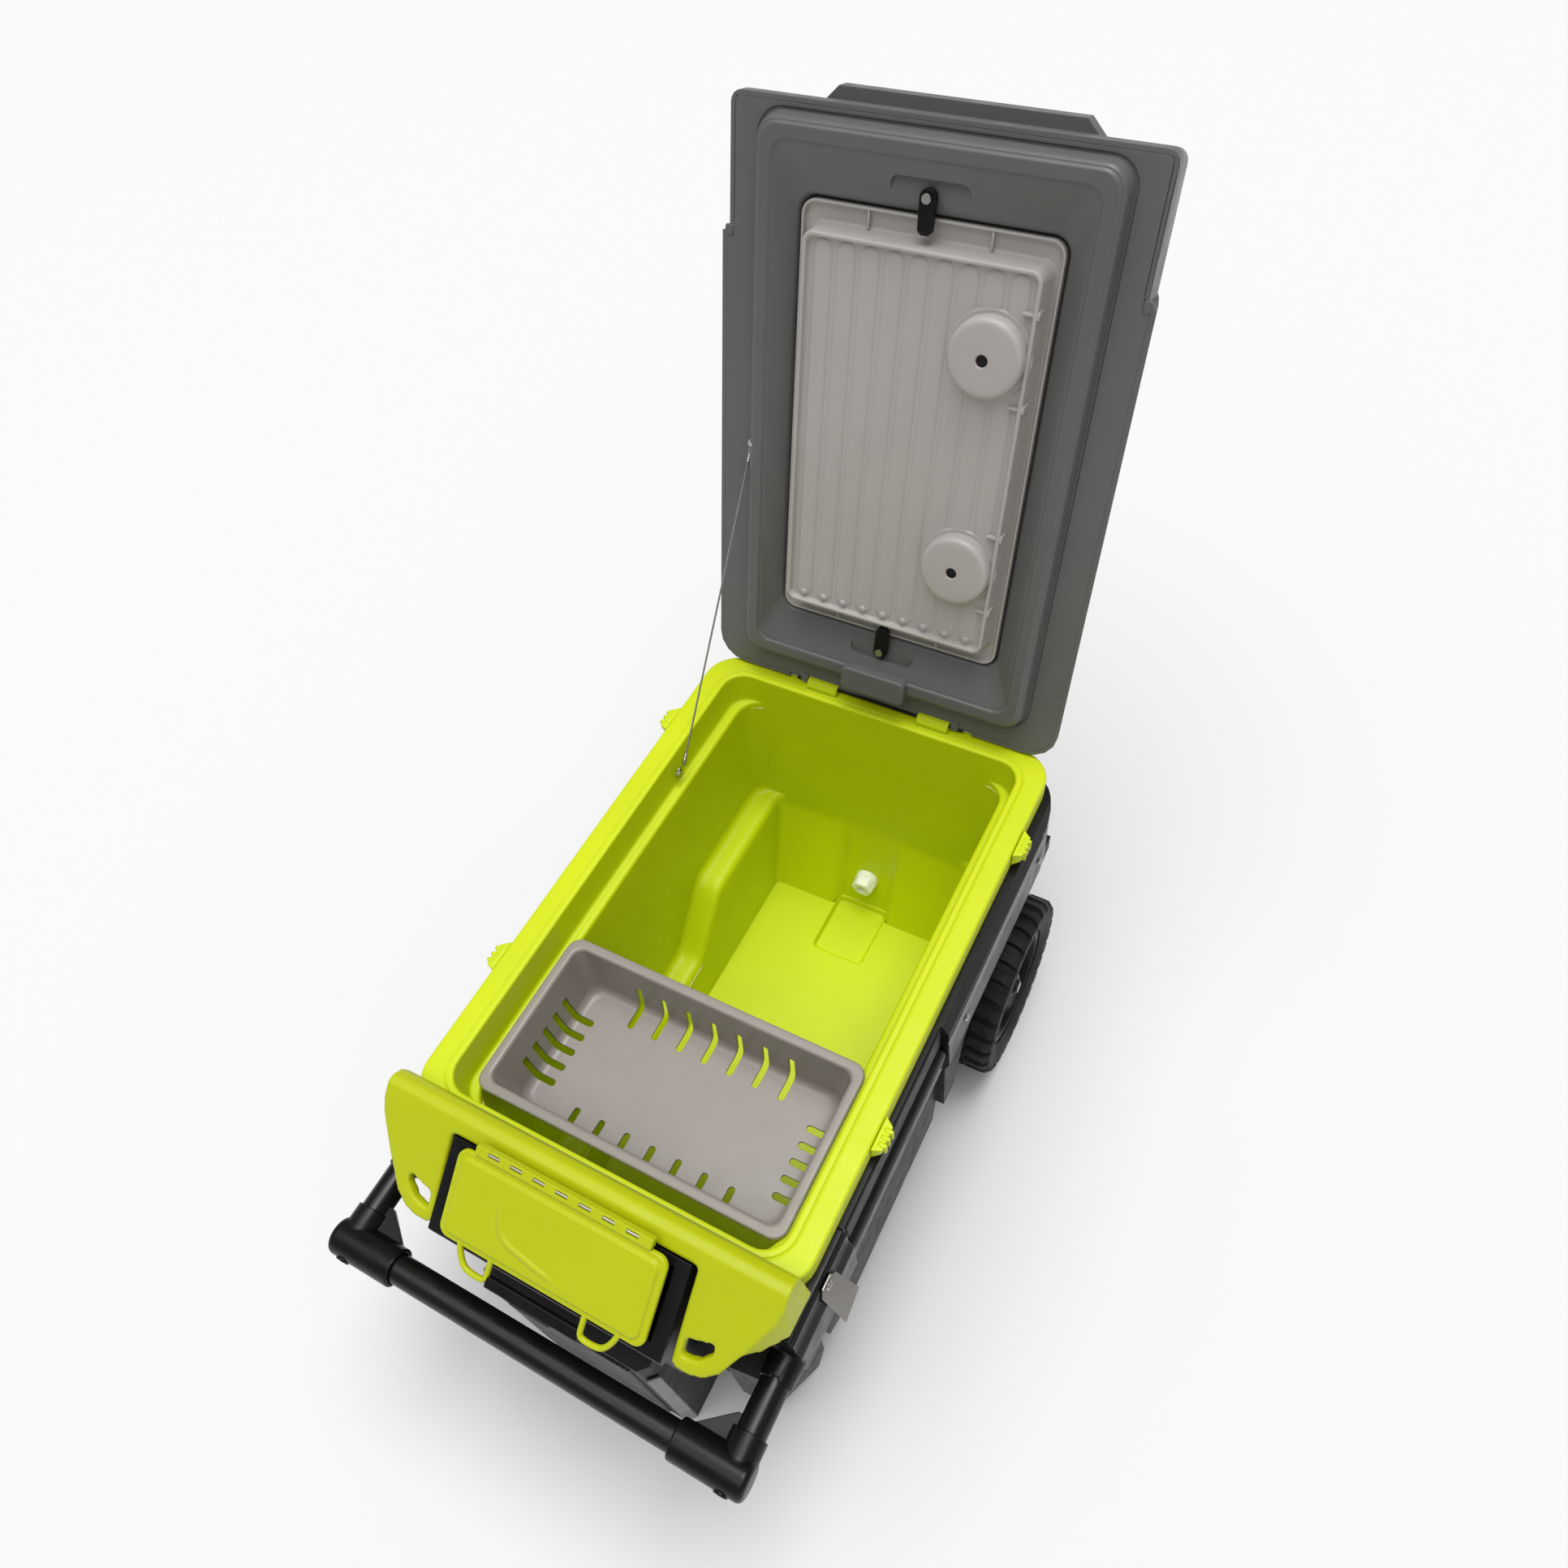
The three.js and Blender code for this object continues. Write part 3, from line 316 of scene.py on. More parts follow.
def ring(half, y0, y1, r, nx=1, ny=1, nc=7, x_mid=0.0):
    """Points of a rounded rectangle, (x, y), anticlockwise; r may be (rear, front) radii."""
    x0, x1 = x_mid - half, x_mid + half
    rear, front = r if isinstance(r, tuple) else (r, r)
    corners = [(x1 - rear, y1 - rear, rear), (x0 + rear, y1 - rear, rear), (x0 + front, y0 + front, front),
               (x1 - front, y0 + front, front)]
    out = []
    for k, (cx, cy, radius) in enumerate(corners):
        for i in range(nc + 1):
            a = (k + i / nc) * math.pi / 2
            out.append((cx + radius * math.cos(a), cy + radius * math.sin(a)))
        ax, ay, radius = corners[(k + 1) % 4]
        a = (k + 1) * math.pi / 2
        end = (ax + radius * math.cos(a), ay + radius * math.sin(a))
        count = ny if k % 2 else nx
        px, py = out[-1]
        for i in range(1, count):
            t = i / count
            out.append((px + (end[0] - px) * t, py + (end[1] - py) * t))
    return out


def circle(cx, cy, r, sides):
    angles = [2 * math.pi * i / sides for i in range(sides)]
    return [(cx + r * math.cos(angle), cy + r * math.sin(angle)) for angle in angles]


def loft(levels, steps=4, caps=(True, True)):
    """A skin over rings of equally many points. Each level is (ring, z or z(x, y), corner rounding)."""
    columns = []
    for i in range(len(levels[0][0])):
        path = []
        for outline, z, _ in levels:
            x, y = outline[i]
            path.append(Vector((x, y, z(x, y) if callable(z) else z)))
        columns.append(rounded_path(path, [level[2] for level in levels], steps))
    n, rows = len(columns), len(columns[0])
    points = [tuple(p) for column in columns for p in column]
    faces = []
    for i in range(n):
        j = (i + 1) % n
        for k in range(rows - 1):
            faces.append([i * rows + k, j * rows + k, j * rows + k + 1, i * rows + k + 1])
    if caps[0]:
        faces.append([i * rows for i in range(n)])
    if caps[1]:
        faces.append([i * rows + rows - 1 for i in reversed(range(n))])
    return points, faces


def lathe(profile, centre, axis, sides, rounding, steps=3):
    """A form turned about an axis; the profile is a closed line of (distance along, radius)."""
    path = [Vector((a, r, 0)) for a, r in profile]
    radii = list(rounding) + [0] * (len(path) - len(rounding))
    wrapped = [path[-1]] + path + [path[0]]
    line = rounded_path(wrapped, [0] + radii + [0], steps)[1:-1]
    points, faces = [], []
    for i in range(sides):
        angle = 2 * math.pi * i / sides
        for p in line:
            c, s = p.y * math.cos(angle), p.y * math.sin(angle)
            local = {"x": (p.x, c, s), "y": (s, p.x, c), "z": (c, s, p.x)}[axis]
            points.append(tuple(o + v for o, v in zip(centre, local)))
    rows = len(line)
    for i in range(sides):
        j = (i + 1) % sides
        for k in range(rows):
            m = (k + 1) % rows
            faces.append([i * rows + k, i * rows + m, j * rows + m, j * rows + k])
    return points, faces


def block(x0, x1, y0, y1, z0, z1, rounding=2.0, steps=3):
    """A box with rounded edges, as a loft along z."""
    r = min(rounding, abs(x1 - x0) * 0.45, abs(y1 - y0) * 0.45)
    half, mid = (x1 - x0) / 2, (x0 + x1) / 2
    outline = ring(half, y0, y1, r, x_mid=mid, nc=3)
    inner = ring(half - r * 0.9, y0 + r * 0.9, y1 - r * 0.9, r * 0.1, x_mid=mid, nc=3)
    return loft([(inner, z0, 0), (outline, z0, r), (outline, z1, r), (inner, z1, 0)], steps)


def mirror(shape):
    points, faces = shape
    return [(-x, y, z) for x, y, z in points], [list(reversed(f)) for f in faces]


def sided(side, shapes):
    return shapes if side > 0 else [mirror(s) for s in shapes]


def tube_faces(rows, sides):
    """The skin between rings of points, from one ring to the next."""
    faces = []
    for k in range(rows):
        for i in range(sides):
            j = (i + 1) % sides
            faces.append([k * sides + i, k * sides + j, (k + 1) * sides + j, (k + 1) * sides + i])
    return faces


def soft_copy(node, name, voxel, rounds):
    """A CAD node's form with moulded, rounded edges: remeshed finely and relaxed."""
    source = NODES[node]
    mesh = source.data.copy()
    mesh.name = name
    obj = bpy.data.objects.new(name, mesh)
    bpy.context.scene.collection.objects.link(obj)
    clean(mesh)
    fine = obj.modifiers.new("fine", "REMESH")
    fine.mode = "VOXEL"
    fine.voxel_size = voxel * MM
    relax = obj.modifiers.new("relax", "SMOOTH")
    relax.factor = 0.5
    relax.iterations = rounds
    graph = bpy.context.evaluated_depsgraph_get()
    final = bpy.data.meshes.new_from_object(obj.evaluated_get(graph))
    obj.modifiers.clear()
    obj.data = final
    bpy.data.meshes.remove(mesh)
    smooth(final)
    slot = SLOT_OF[node]
    paint(obj, slot)
    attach(obj, source["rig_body"])
    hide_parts(node)


EDGE_ANGLE = 28


def keep_cad(node, width):
    """Rounds the edges of a CAD node that stays, and paints it."""
    obj = NODES[node]
    paint(obj, SLOT_OF[node])
    obj.data.shade_smooth()
    flat = obj.modifiers.new("flat_faces", "DECIMATE")
    flat.decimate_type = "DISSOLVE"
    flat.angle_limit = math.radians(2)
    if width:
        soft = obj.modifiers.new("soft_edges", "BEVEL")
        soft.width = width * MM
        soft.segments = 2
        soft.limit_method = "ANGLE"
        soft.angle_limit = math.radians(EDGE_ANGLE)
        soft.use_clamp_overlap = False
        soft.harden_normals = False
    weigh(obj)


# ---- stay cable ----------------------------------------------------------------------------------
CABLE_RADIUS = 1.3
CABLE_FROM = (-196.0, -157.0, 425.0)
LID_END_SHUT = (-199.0, -291.0, 444.5)
CABLE_TO = tuple(a + b for a, b in zip(turned(LID_END_SHUT), (5.0, -3.0, -7.0)))
STRAND_PITCH = 9


def add_cable():
    start, end = Vector(CABLE_FROM), Vector(CABLE_TO)
    length = (end - start).length
    along = (end - start).normalized()
    u = along.cross(Vector((1, 0, 0))).normalized()
    v = along.cross(u)
    sides, rows, strands = 36, 160, 6
    points = []
    for k in range(rows + 1):
        centre = start.lerp(end, k / rows)
        for i in range(sides):
            angle = 2 * math.pi * i / sides
            lay = strands * angle - 2 * math.pi * k / rows * length / STRAND_PITCH
            r = CABLE_RADIUS * (0.93 + 0.07 * math.cos(lay))
            points.append(tuple(centre + u * (r * math.cos(angle)) + v * (r * math.sin(angle))))
    faces = tube_faces(rows, sides)
    faces.append(list(reversed(range(sides))))
    faces.append([rows * sides + i for i in range(sides)])
    mesh = bpy.data.meshes.new("stay_cable_rope")
    mesh.from_pydata([at(*p) for p in points], [], faces)
    smooth(mesh, 50)
    cable = bpy.data.objects.new("stay_cable_rope", mesh)
    bpy.context.scene.collection.objects.link(cable)
    paint(cable, "stainless_steel")
    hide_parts("stay_cable")
    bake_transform(cable)


add_cable()


# ---- floor and light -----------------------------------------------------------------------------
# Wide, soft lights: the main one from above and behind, one from above, a weak one from the front.
# Each is its name, the direction it comes from, its spread in degrees and its strength.
LIGHTS = (
    ("main", (0.10, 0.21, 1.0), 30, 1.50),
    ("overhead", (-0.04, -0.18, 1.0), 60, 1.80),
    ("front", (0.45, -1.0, 0.9), 70, 0.10),
)
SKY_STRENGTH = 0.30
FLOOR_GREY = 0.715


def add_stage():
    mesh = bpy.data.meshes.new("floor")
    bm = bmesh.new()
    bmesh.ops.create_grid(bm, x_segments=8, y_segments=8, size=14)
    bm.to_mesh(mesh)
    bm.free()
    floor = bpy.data.objects.new("floor", mesh)
    bpy.context.scene.collection.objects.link(floor)
    paper = bpy.data.materials.new("floor_paper")
    paper.use_nodes = True
    shader = paper.node_tree.nodes["Principled BSDF"]
    shader.inputs["Base Color"].default_value = (FLOOR_GREY, FLOOR_GREY, FLOOR_GREY, 1)
    shader.inputs["Roughness"].default_value = 0.9
    shader.inputs["Specular IOR Level"].default_value = 0.1
    mesh.materials.append(paper)

    world = bpy.data.worlds.new("studio")
    world.use_nodes = True
    world.node_tree.nodes["Background"].inputs["Color"].default_value = (1, 1, 1, 1)
    world.node_tree.nodes["Background"].inputs["Strength"].default_value = SKY_STRENGTH
    bpy.context.scene.world = world

    bpy.context.scene.view_settings.view_transform = "Standard"

    for name, toward, spread, strength in LIGHTS:
        data = bpy.data.lights.new(name, "SUN")
        data.energy = strength
        data.angle = math.radians(spread)
        light = bpy.data.objects.new(name, data)
        bpy.context.scene.collection.objects.link(light)
        light.rotation_euler = Vector(toward).to_track_quat("Z", "Y").to_euler()


add_stage()


# ---- tub -----------------------------------------------------------------------------------------
def ramp(a, b, v):
    """0 before a, 1 after b, smooth between."""
    t = min(1.0, max(0.0, (v - a) / (b - a)))
    return t * t * (3 - 2 * t)


def add_tub():
    nx, ny = 30, 44

    def rr(half, y0, y1, r):
        return ring(half, y0, y1, r, nx, ny)

    def shelf(x, y):
        return 215 - 85 * min(1.0, max(0.0, (-200 - y) / 78))

    def low(x, y):
        return max(60.0, min(187.0, shelf(x, y) - 28))

    # The well's foot: its rear wall stands further back in the drain recess.
    foot_half, foot_front, foot_rear, foot_r = 141, -628, -75, 8
    recess_half, recess_flat, recess_deep = 44.4, 26.6, 21
    foot_plain = rr(foot_half, foot_front, foot_rear, foot_r)
    well_foot = [(x, y + recess_deep * (1 - ramp(38, 46, abs(x))) if y > foot_rear - 9 else y)
                 for x, y in foot_plain]

    def sump(half, y0, y1, r):
        """The sump's outline, with its rear edge facing only the drain recess."""
        flat_x, front_y, rear_y = foot_half - foot_r, foot_front + foot_r, foot_rear - foot_r
        reach, gap, run = half - r, 3, 24
        out = []
        for x, y in foot_plain:
            side = math.copysign(1, x)
            if y > foot_rear - 0.01 and abs(x) < 46:
                a = math.pi / 2 * min(1.0, max(0.0, (recess_half - abs(x)) / (recess_half - recess_flat)))
                across = side * (reach + r * math.cos(a)) if abs(x) > 27 else x / recess_flat * reach
                out.append((across, y1 - r + r * math.sin(a)))
            elif y > foot_rear - 9:
                out.append((side * half, y1 - r - gap - run * (abs(x) - 44) / (foot_half - 44)))
            elif y > front_y + 0.01:
                t = (y - front_y) / (rear_y - front_y)
                out.append((side * half, y0 + r + t * (y1 - y0 - 2 * r - gap - run)))
            elif abs(x) > flat_x:
                out.append((side * (reach + r * (abs(x) - flat_x) / foot_r), y0 + r + r * (y - front_y) / foot_r))
            else:
                out.append((x * reach / flat_x, y0))
        return out

    levels = [
        (rr(236.5, -671.0, 25.0, 38.0), 413, 0),
        (rr(239.6, -674.1, 28.1, 41.1), 412, 1.5),
        (rr(240.5, -675.0, 29.0, 42.0), 444, 4.5),
        (rr(217.2, -659.2, 11.2, 39.0), 444, 0.6),
        (rr(216.6, -658.6, 10.6, 38.6), 442.9, 0.4),
        (rr(215.4, -657.4, 9.4, 37.4), 442.9, 0.4),
        (rr(214.8, -656.8, 8.8, 36.8), 444.9, 1.2),
        (rr(206.6, -648.6, 0.6, 28.6), 445.2, 4.0),
        (rr(203.0, -645.7, -2.7, 28.0), 400, 5),
        (rr(189.0, -645.7, -2.7, 28.0), 400, 6),
        (rr(187.0, -634.0, -16.0, 24.0), shelf, 14),
        (rr(151.0, -634.0, -16.0, 14.0), shelf, 12),
        (rr(148.0, -633.0, -18.0, 14.0), low, 0),
        (well_foot, 60, 0),
        (sump(40.5, -154.0, -57.0, 8.0), 60, 2.0),
        (sump(37.5, -151.0, -59.5, 7.0), 51, 2.5),
        (sump(28.0, -140.0, -70.0, 5.0), 51, 0),
    ]
    skin = loft(levels, 5, caps=(False, True))
    piece("tub_moulding", [skin], "lime_plastic", "tub", ["tub_liner"], sharp=60)


add_tub()


# ---- lid underside -------------------------------------------------------------------------------
def add_lid_underside():
    nx, ny = 24, 40

    def rr(half, y0, y1, r):
        return ring(half, y0, y1, r, nx, ny)

    # Ahead of the step in the lid's sides the plate is narrower.
    step_y, narrow_half = -516, 222.4
    outline = [(math.copysign(min(abs(x), narrow_half), x) if y < step_y else x, y)
               for x, y in rr(231.4, -644.8, 20.8, (33, 8))]
    levels = [
        (outline, 460.5, 0),
        (outline, 446.5, 0),
        (rr(197.0, -641.0, -5.0, 29), 446.5, 1),
        (rr(196.4, -640.4, -5.6, 28), 448.2, 0.6),
        (rr(194.0, -638.0, -8.0, 26), 448.2, 0.6),
        (rr(191.0, -635.0, -11.0, 24), 434, 3),
        (rr(188.5, -632.5, -13.5, 22), 430.8, 3),
        (rr(187.0, -631.0, -15.0, 21), 430.8, 1),
        (rr(185.0, -629.0, -17.0, 20), 428, 2.5),
        (rr(172.5, -616.5, -30.5, 18), 428, 2.5),
        (rr(170.5, -614.5, -32.5, 18), 430.6, 1.5),
        (rr(168.5, -612.5, -34.5, 18), 430.6, 1.5),
        (rr(145.5, -565.5, -78.5, 19), 447.5, 5),
        (rr(144.0, -564.0, -80.0, 18), 458.4, 4),
        (rr(126.0, -546.0, -98.0, 10), 458.5, 0),
    ]
    skin = piece("lid_underside", [loft(levels, 4)], "lid_plastic", "lid", ["lid_liner"],
                 in_lid=True, sharp=50, even=False)
    # A pocket at each end makes room for the turn clips.
    cutters = []
    for y0, y1 in ((-598, -556), (-88, -49)):
        pocket = ring(42, y0, y1, 9)
        cutters.append(loft([(pocket, 441.5, 0), (pocket, 400, 0)]))
    cut(skin, cutters, in_lid=True)
    weigh(skin)

    # The hinge tongue, and small bumps around the plug and on the rim.
    tongue = [block(-43, 43, -36, -3.4, 417, 447, 7, 5)]
    piece("lid_hinge_tongue", tongue, "lid_plastic", "lid", in_lid=True)
    bumps = []
    for y in (-120, -136, -300, -316, -420, -436, -520, -536):
        bumps.append(block(185.6, 190, y - 3, y + 3, 432.5, 444, 1.5))
    for x in (-60, -44, 40, 56):
        bumps.append(block(x - 3, x + 3, -634, -631.8, 433, 444, 1))
    for x in (-228.5, 228.5):
        bumps.append(block(x - 5, x + 5, -523, -511, 445.4, 448.8, 3, 4))
    piece("lid_plug_bumps", bumps, "lid_plastic", "lid", in_lid=True)


def cut(obj, shapes, in_lid=False):
    """Takes closed shapes out of a piece."""
    points, faces = [], []
    for shape_points, shape_faces in shapes:
        start = len(points)
        points.extend(at(*(turned(p) if in_lid else p)) for p in shape_points)
        faces.extend([[start + i for i in f] for f in shape_faces])
    mesh = bpy.data.meshes.new("cutter")
    mesh.from_pydata(points, [], faces)
    clean(mesh)
    cutter = bpy.data.objects.new("cutter", mesh)
    bpy.context.scene.collection.objects.link(cutter)
    modifier = obj.modifiers.new("cut", "BOOLEAN")
    modifier.operation = "DIFFERENCE"
    modifier.solver = "EXACT"
    modifier.object = cutter
    graph = bpy.context.evaluated_depsgraph_get()
    final = bpy.data.meshes.new_from_object(obj.evaluated_get(graph))
    obj.modifiers.clear()
    obj.data = final
    bpy.data.objects.remove(cutter)
    smooth(final, 40)


add_lid_underside()


# ---- serving tray --------------------------------------------------------------------------------
def add_tray():
    def lip(inset, r):
        return ring(142.4 - inset, -562.4 + inset, -81.6 - inset, r, 2, 2, 7)

    def dish(inset, r=14):
        return ring(133 - inset, -540 + inset, -102 - inset, r - inset * 0.7, 2, 2, 7)

    shapes = [loft([
        (lip(0.4, 16), 456, 0),
        (lip(0.2, 16), 445.6, 1.4),
        (lip(3.0, 14), 445.6, 1.4),
        (lip(4.0, 13), 451.6, 2.0),
        (dish(-1.5, 14), 451.6, 3.0),
        (dish(2.0), 440, 0),
        (dish(3.2), 424.5, 2.6),
        (dish(7.6), 424.5, 2.2),
        (dish(8.4), 430.9, 1.2),
        (dish(16.0), 431, 0)], 5)]
    # Flutes: shallow raised bands with rounded ends on the dish's floor, and a small bump at each end.
    flutes = [-107.5 + i * 26.9 for i in range(9)]
    for x in flutes:
        shapes.append(band(x, 10.6, -530.6, -112.5, 431.4, 429.4))
    for x in flutes:
        shapes.append(band(x, 4.2, -122.0, -113.6, 430, 427.4))
    # Stacking cups with a drain hole each, on pads that break the flutes.
    cup_x, cup_places = 85.5, (-209, -449)
    for y in cup_places:
        pad = [(46.5, 431.2, 0), (45.5, 428.8, 1.2), (40, 428.8, 0)]
        cup = [(41.5, 431, 0), (41, 428.8, 1.2), (40.4, 412.8, 9), (26, 412.5, 1.5)]
        hole = [(7.2, 412.5, 0.9), (6.2, 413.6, 1), (6.0, 424, 0)]
        cup_levels = [(circle(cup_x, y, r, 56), z, soft) for r, z, soft in cup]
        cup_levels += [(circle(cup_x - 1.5, y + 2, r, 56), z, soft) for r, z, soft in hole]
        shapes.append(loft([(circle(cup_x, y, r, 56), z, soft) for r, z, soft in pad], 4))
        shapes.append(loft(cup_levels, 5))
        for dy in (-47, 47):
            shapes.append(block(114, 131.4, y + dy - 1.3, y + dy + 1.3, 425.2, 432, 1.0))
            shapes.append(block(129, 132.4, y + dy - 4, y + dy + 4, 425.4, 440, 1.2))
    for x in (-66.5, 67):
        shapes.append(block(x - 1.2, x + 1.2, -561, -541, 446.5, 453, 0.9))
        shapes.append(block(x - 1.2, x + 1.2, -101, -83, 446.5, 453, 0.9))
    piece("serving_tray_moulding", shapes, "tray_plastic", "lid", ["serving_tray"], in_lid=True, sharp=45)
    # Black plugs a little way into the cups' drain holes: painted shade standing for the dark inside of each
    # hole.
    hole_shades = []
    for y in cup_places:
        outline = circle(cup_x - 1.5, y + 2, 5.9, 40)
        hole_shades.append(loft([(outline, 422.9, 0), (outline, 414.4, 0)]))
    piece("tray_cup_hole_shade", hole_shades, "black_plastic", "lid", in_lid=True)


def band(x, half, y0, y1, foot, top):
    """A low raised band with rounded ends and shoulders."""
    def inner(share, corner):
        inset = half * (1 - share)
        return ring(half * share, y0 + inset, y1 - inset, half * corner, 1, 1, 6, x_mid=x)

    return loft([(inner(1, 0.97), foot, 0),
                 (inner(1, 0.97), foot - (foot - top) * 0.35, 0.8),
                 (inner(0.72, 0.7), top, 3),
                 (inner(0.2, 0.19), top - 0.1, 0)], 3)


add_tray()


# ---- basket --------------------------------------------------------------------------------------
def add_basket():
    half, rear, front, top, floor = 196.0, -420.0, -628.0, 408.0, 328.0

    def rr(x, inset, r):
        return ring(x, front + inset, rear - inset, r, 10, 6, 6)

    shell = loft([
        (rr(half - 46, 42, 12), floor, 0),
        (rr(half - 21, 17, 22), floor, 16),
        (rr(half - 9, 9, 14), top - 8.5, 1),
        (rr(half, 0.4, 17), top - 8, 2.5),
        (rr(half, 0, 17), top, 3.5),
        (rr(half - 12.5, 12.5, 12), top, 4.5),
        (rr(half - 24.5, 20.5, 20), floor + 3, 15),
        (rr(half - 46, 42, 12), floor + 3, 0)], 5)
    basket = piece("food_basket_moulding", [shell], "basket_plastic", "food_basket", ["food_basket"],
                   sharp=45, even=False)
    cutters = []
    slot_half, slot_low, slot_high = 4.2, floor - 8, floor + 43

    def slot(x0, x1, y0, y1):
        cutters.append(block(x0, x1, y0, y1, slot_low, slot_high, 3.7))

    for i in range(7):
        x = (i - 3) * 34.5
        slot(x - slot_half, x + slot_half, rear - 52, rear - 8)
        slot(x - slot_half, x + slot_half, front + 8, front + 46)
    for i in range(5):
        y = rear - 67 - i * 20.7
        for x in (-half + 9, half - 50):
            slot(x, x + 41, y - slot_half, y + slot_half)
    cut(basket, cutters)
    weigh(basket)


add_basket()


# ---- handle --------------------------------------------------------------------------------------
HANDLE_Y, HANDLE_Z, TUBE_X, TUBE_R = -820.0, 345.0, 239.0, 16


def tube(axis, a, b, centre):
    """A handle tube from a to b along an axis."""
    wall, edge = 2.0, 1.2
    profile = [(a, TUBE_R - wall), (a, TUBE_R), (b, TUBE_R), (b, TUBE_R - wall)]
    return lathe(profile, centre, axis, 56, [0, edge, edge, 0])


def add_handle():
    bar_tube = tube("x", -197, 197, (0, HANDLE_Y, HANDLE_Z))
    piece("handle_bar", [bar_tube], "handle_tube", "handle", ["handle_grip"])
    for name, side in (("left", -1), ("right", 1)):
        arm = tube("y", HANDLE_Y + 22, -60, (TUBE_X, 0, HANDLE_Z))
        piece(f"handle_arm_{name}", sided(side, [arm]), "handle_tube", "handle", [f"handle_tube_{name}"])
        profile = [(175, 16.3), (175, 21), (259, 21), (259, 0.01), (199, 0.01), (199, 16.3)]
        sleeve = lathe(profile, (0, HANDLE_Y, HANDLE_Z), "x", 56, [1, 2.2, 8, 0, 0, 0], 5)
        collar = lathe([(HANDLE_Y, 0.01), (HANDLE_Y, 19), (HANDLE_Y + 36, 19), (HANDLE_Y + 36, 16.3),
                        (HANDLE_Y + 22, 16.3), (HANDLE_Y + 22, 0.01)],
                       (TUBE_X, 0, HANDLE_Z), "y", 56, [0, 0, 1.5, 1, 0, 0])
        y0 = HANDLE_Y - 21
        profile = [(y0 - 2, 0.01), (y0 - 2, 2.2), (y0 + 0.2, 3.0), (y0 + 0.2, 5.4), (y0 - 2, 6.2),
                   (y0 - 1, 8), (y0 + 8, 8), (y0 + 8, 0.01)]
        boss = lathe(profile, (237, 0, HANDLE_Z), "y", 32, [0, 0, 0, 0, 0.8, 1, 0, 0])
        corners = [(179, 15), (227, 15), (227, 48), (219, 47)]
        web = plate([(x, HANDLE_Y + y) for x, y in corners], HANDLE_Z - 4.5, HANDLE_Z + 4.5, 1.5)
        piece(f"handle_corner_{name}", sided(side, [sleeve, collar, boss, web]), "black_plastic",
              "handle", [f"handle_tee_{name}"])


def plate(outline, z0, z1, rounding):
    """A flat plate of an (x, y) outline with its two rims rounded."""
    cx = sum(p[0] for p in outline) / len(outline)
    cy = sum(p[1] for p in outline) / len(outline)

    def shrunk(by):
        out = []
        for x, y in outline:
            d = math.hypot(x - cx, y - cy)
            out.append((x - (x - cx) / d * by, y - (y - cy) / d * by))
        return out

    inner = shrunk(rounding * 1.2)
    return loft([(inner, z0, 0), (outline, z0, rounding), (outline, z1, rounding), (inner, z1, 0)], 3)


add_handle()


# ---- wheels --------------------------------------------------------------------------------------
def add_wheels():
    radius, mid, w = 127.0, 241.0, 35.0
    for name, side in (("left", -1), ("right", 1)):
        centre = (mid, -123.0, radius)
        profile = [(-w + 6, 84.3), (-w, 100), (-w, 116), (-w + 9, 121.5),
                   (w - 9, 121.5), (w, 116), (w, 100), (w - 6, 84.3)]
        carcass = lathe(profile, centre, "x", 96, [1, 6, 5, 4, 4, 5, 6, 1])
        lugs = []
        count = 30
        for i in range(count):
            for half, sweep in ((-1, 0.0), (1, 0.5)):
                angle = 2 * math.pi * (i + sweep) / count
                lugs.append(lug(centre, angle, half, w))
        piece(f"tyre_{name}_tread", sided(side, [carcass] + lugs), "tyre_rubber",
              f"wheel_{name}", [f"tyre_{name}"])
        profile = [(-w + 8, 74), (-w + 8, 83.9), (w - 8, 83.9), (w - 8, 76), (w - 14, 74),
                   (4, 71), (-4, 71)]
        rim = lathe(profile, centre, "x", 96, [1, 1.5, 1.5, 1.5, 2, 2, 2])
        bore = 8.4
        profile = [(-26, bore), (-26, 17), (6, 20), (w - 12, 18), (w - 9, 15), (w - 9, bore)]
        boss = lathe(profile, centre, "x", 56, [0.5, 1.5, 2, 2, 1.5, 0.5])
        profile = [(w - 12, 0.01), (w - 12, 12), (w - 6, 11), (w - 4.4, 6), (w - 4.4, 0.01)]
        cap = lathe(profile, centre, "x", 40, [0, 0, 2, 1, 0])
        spokes = [spoke(centre, 2 * math.pi * (i + 0.5) / 8) for i in range(8)]
        piece(f"hub_{name}_spoked", sided(side, [rim, boss, cap] + spokes), "black_plastic",
              f"wheel_{name}", [f"wheel_hub_{name}"])


def around(centre, angle, x, r, across):
    """A point of a wheel: x outwards along the axle, r from the axle, across the radius."""
    c, s = math.cos(angle), math.sin(angle)
    return (centre[0] + x, centre[1] + r * c - across * s, centre[2] + r * s + across * c)


def lug(centre, angle, half, w):
    """One tread block, from near the middle of the tyre over its shoulder."""
    rows = [(2 * half, 120.5, 127.0, 7.4), (20 * half, 120.5, 127.0, 7.4),
            ((w - 7) * half, 119.5, 126.4, 8.6), ((w - 0.2) * half, 112, 120.5, 9.2),
            ((w - 0.1) * half, 103, 106, 8.4)]
    points = []
    for x, low, high, width in rows:
        lean = 0.028 * abs(x) / w
        for r, across in ((low, -width), (low, width), (high, width - 1.6), (high, -width + 1.6)):
            points.append(around(centre, angle + lean, x, r, across))
    n = len(rows)
    faces = [[0, 1, 2, 3], [4 * n - 1, 4 * n - 2, 4 * n - 3, 4 * n - 4]]
    for k in range(n - 1):
        for i in range(4):
            j = (i + 1) % 4
            faces.append([4 * k + i, 4 * (k + 1) + i, 4 * (k + 1) + j, 4 * k + j])
    return points, faces


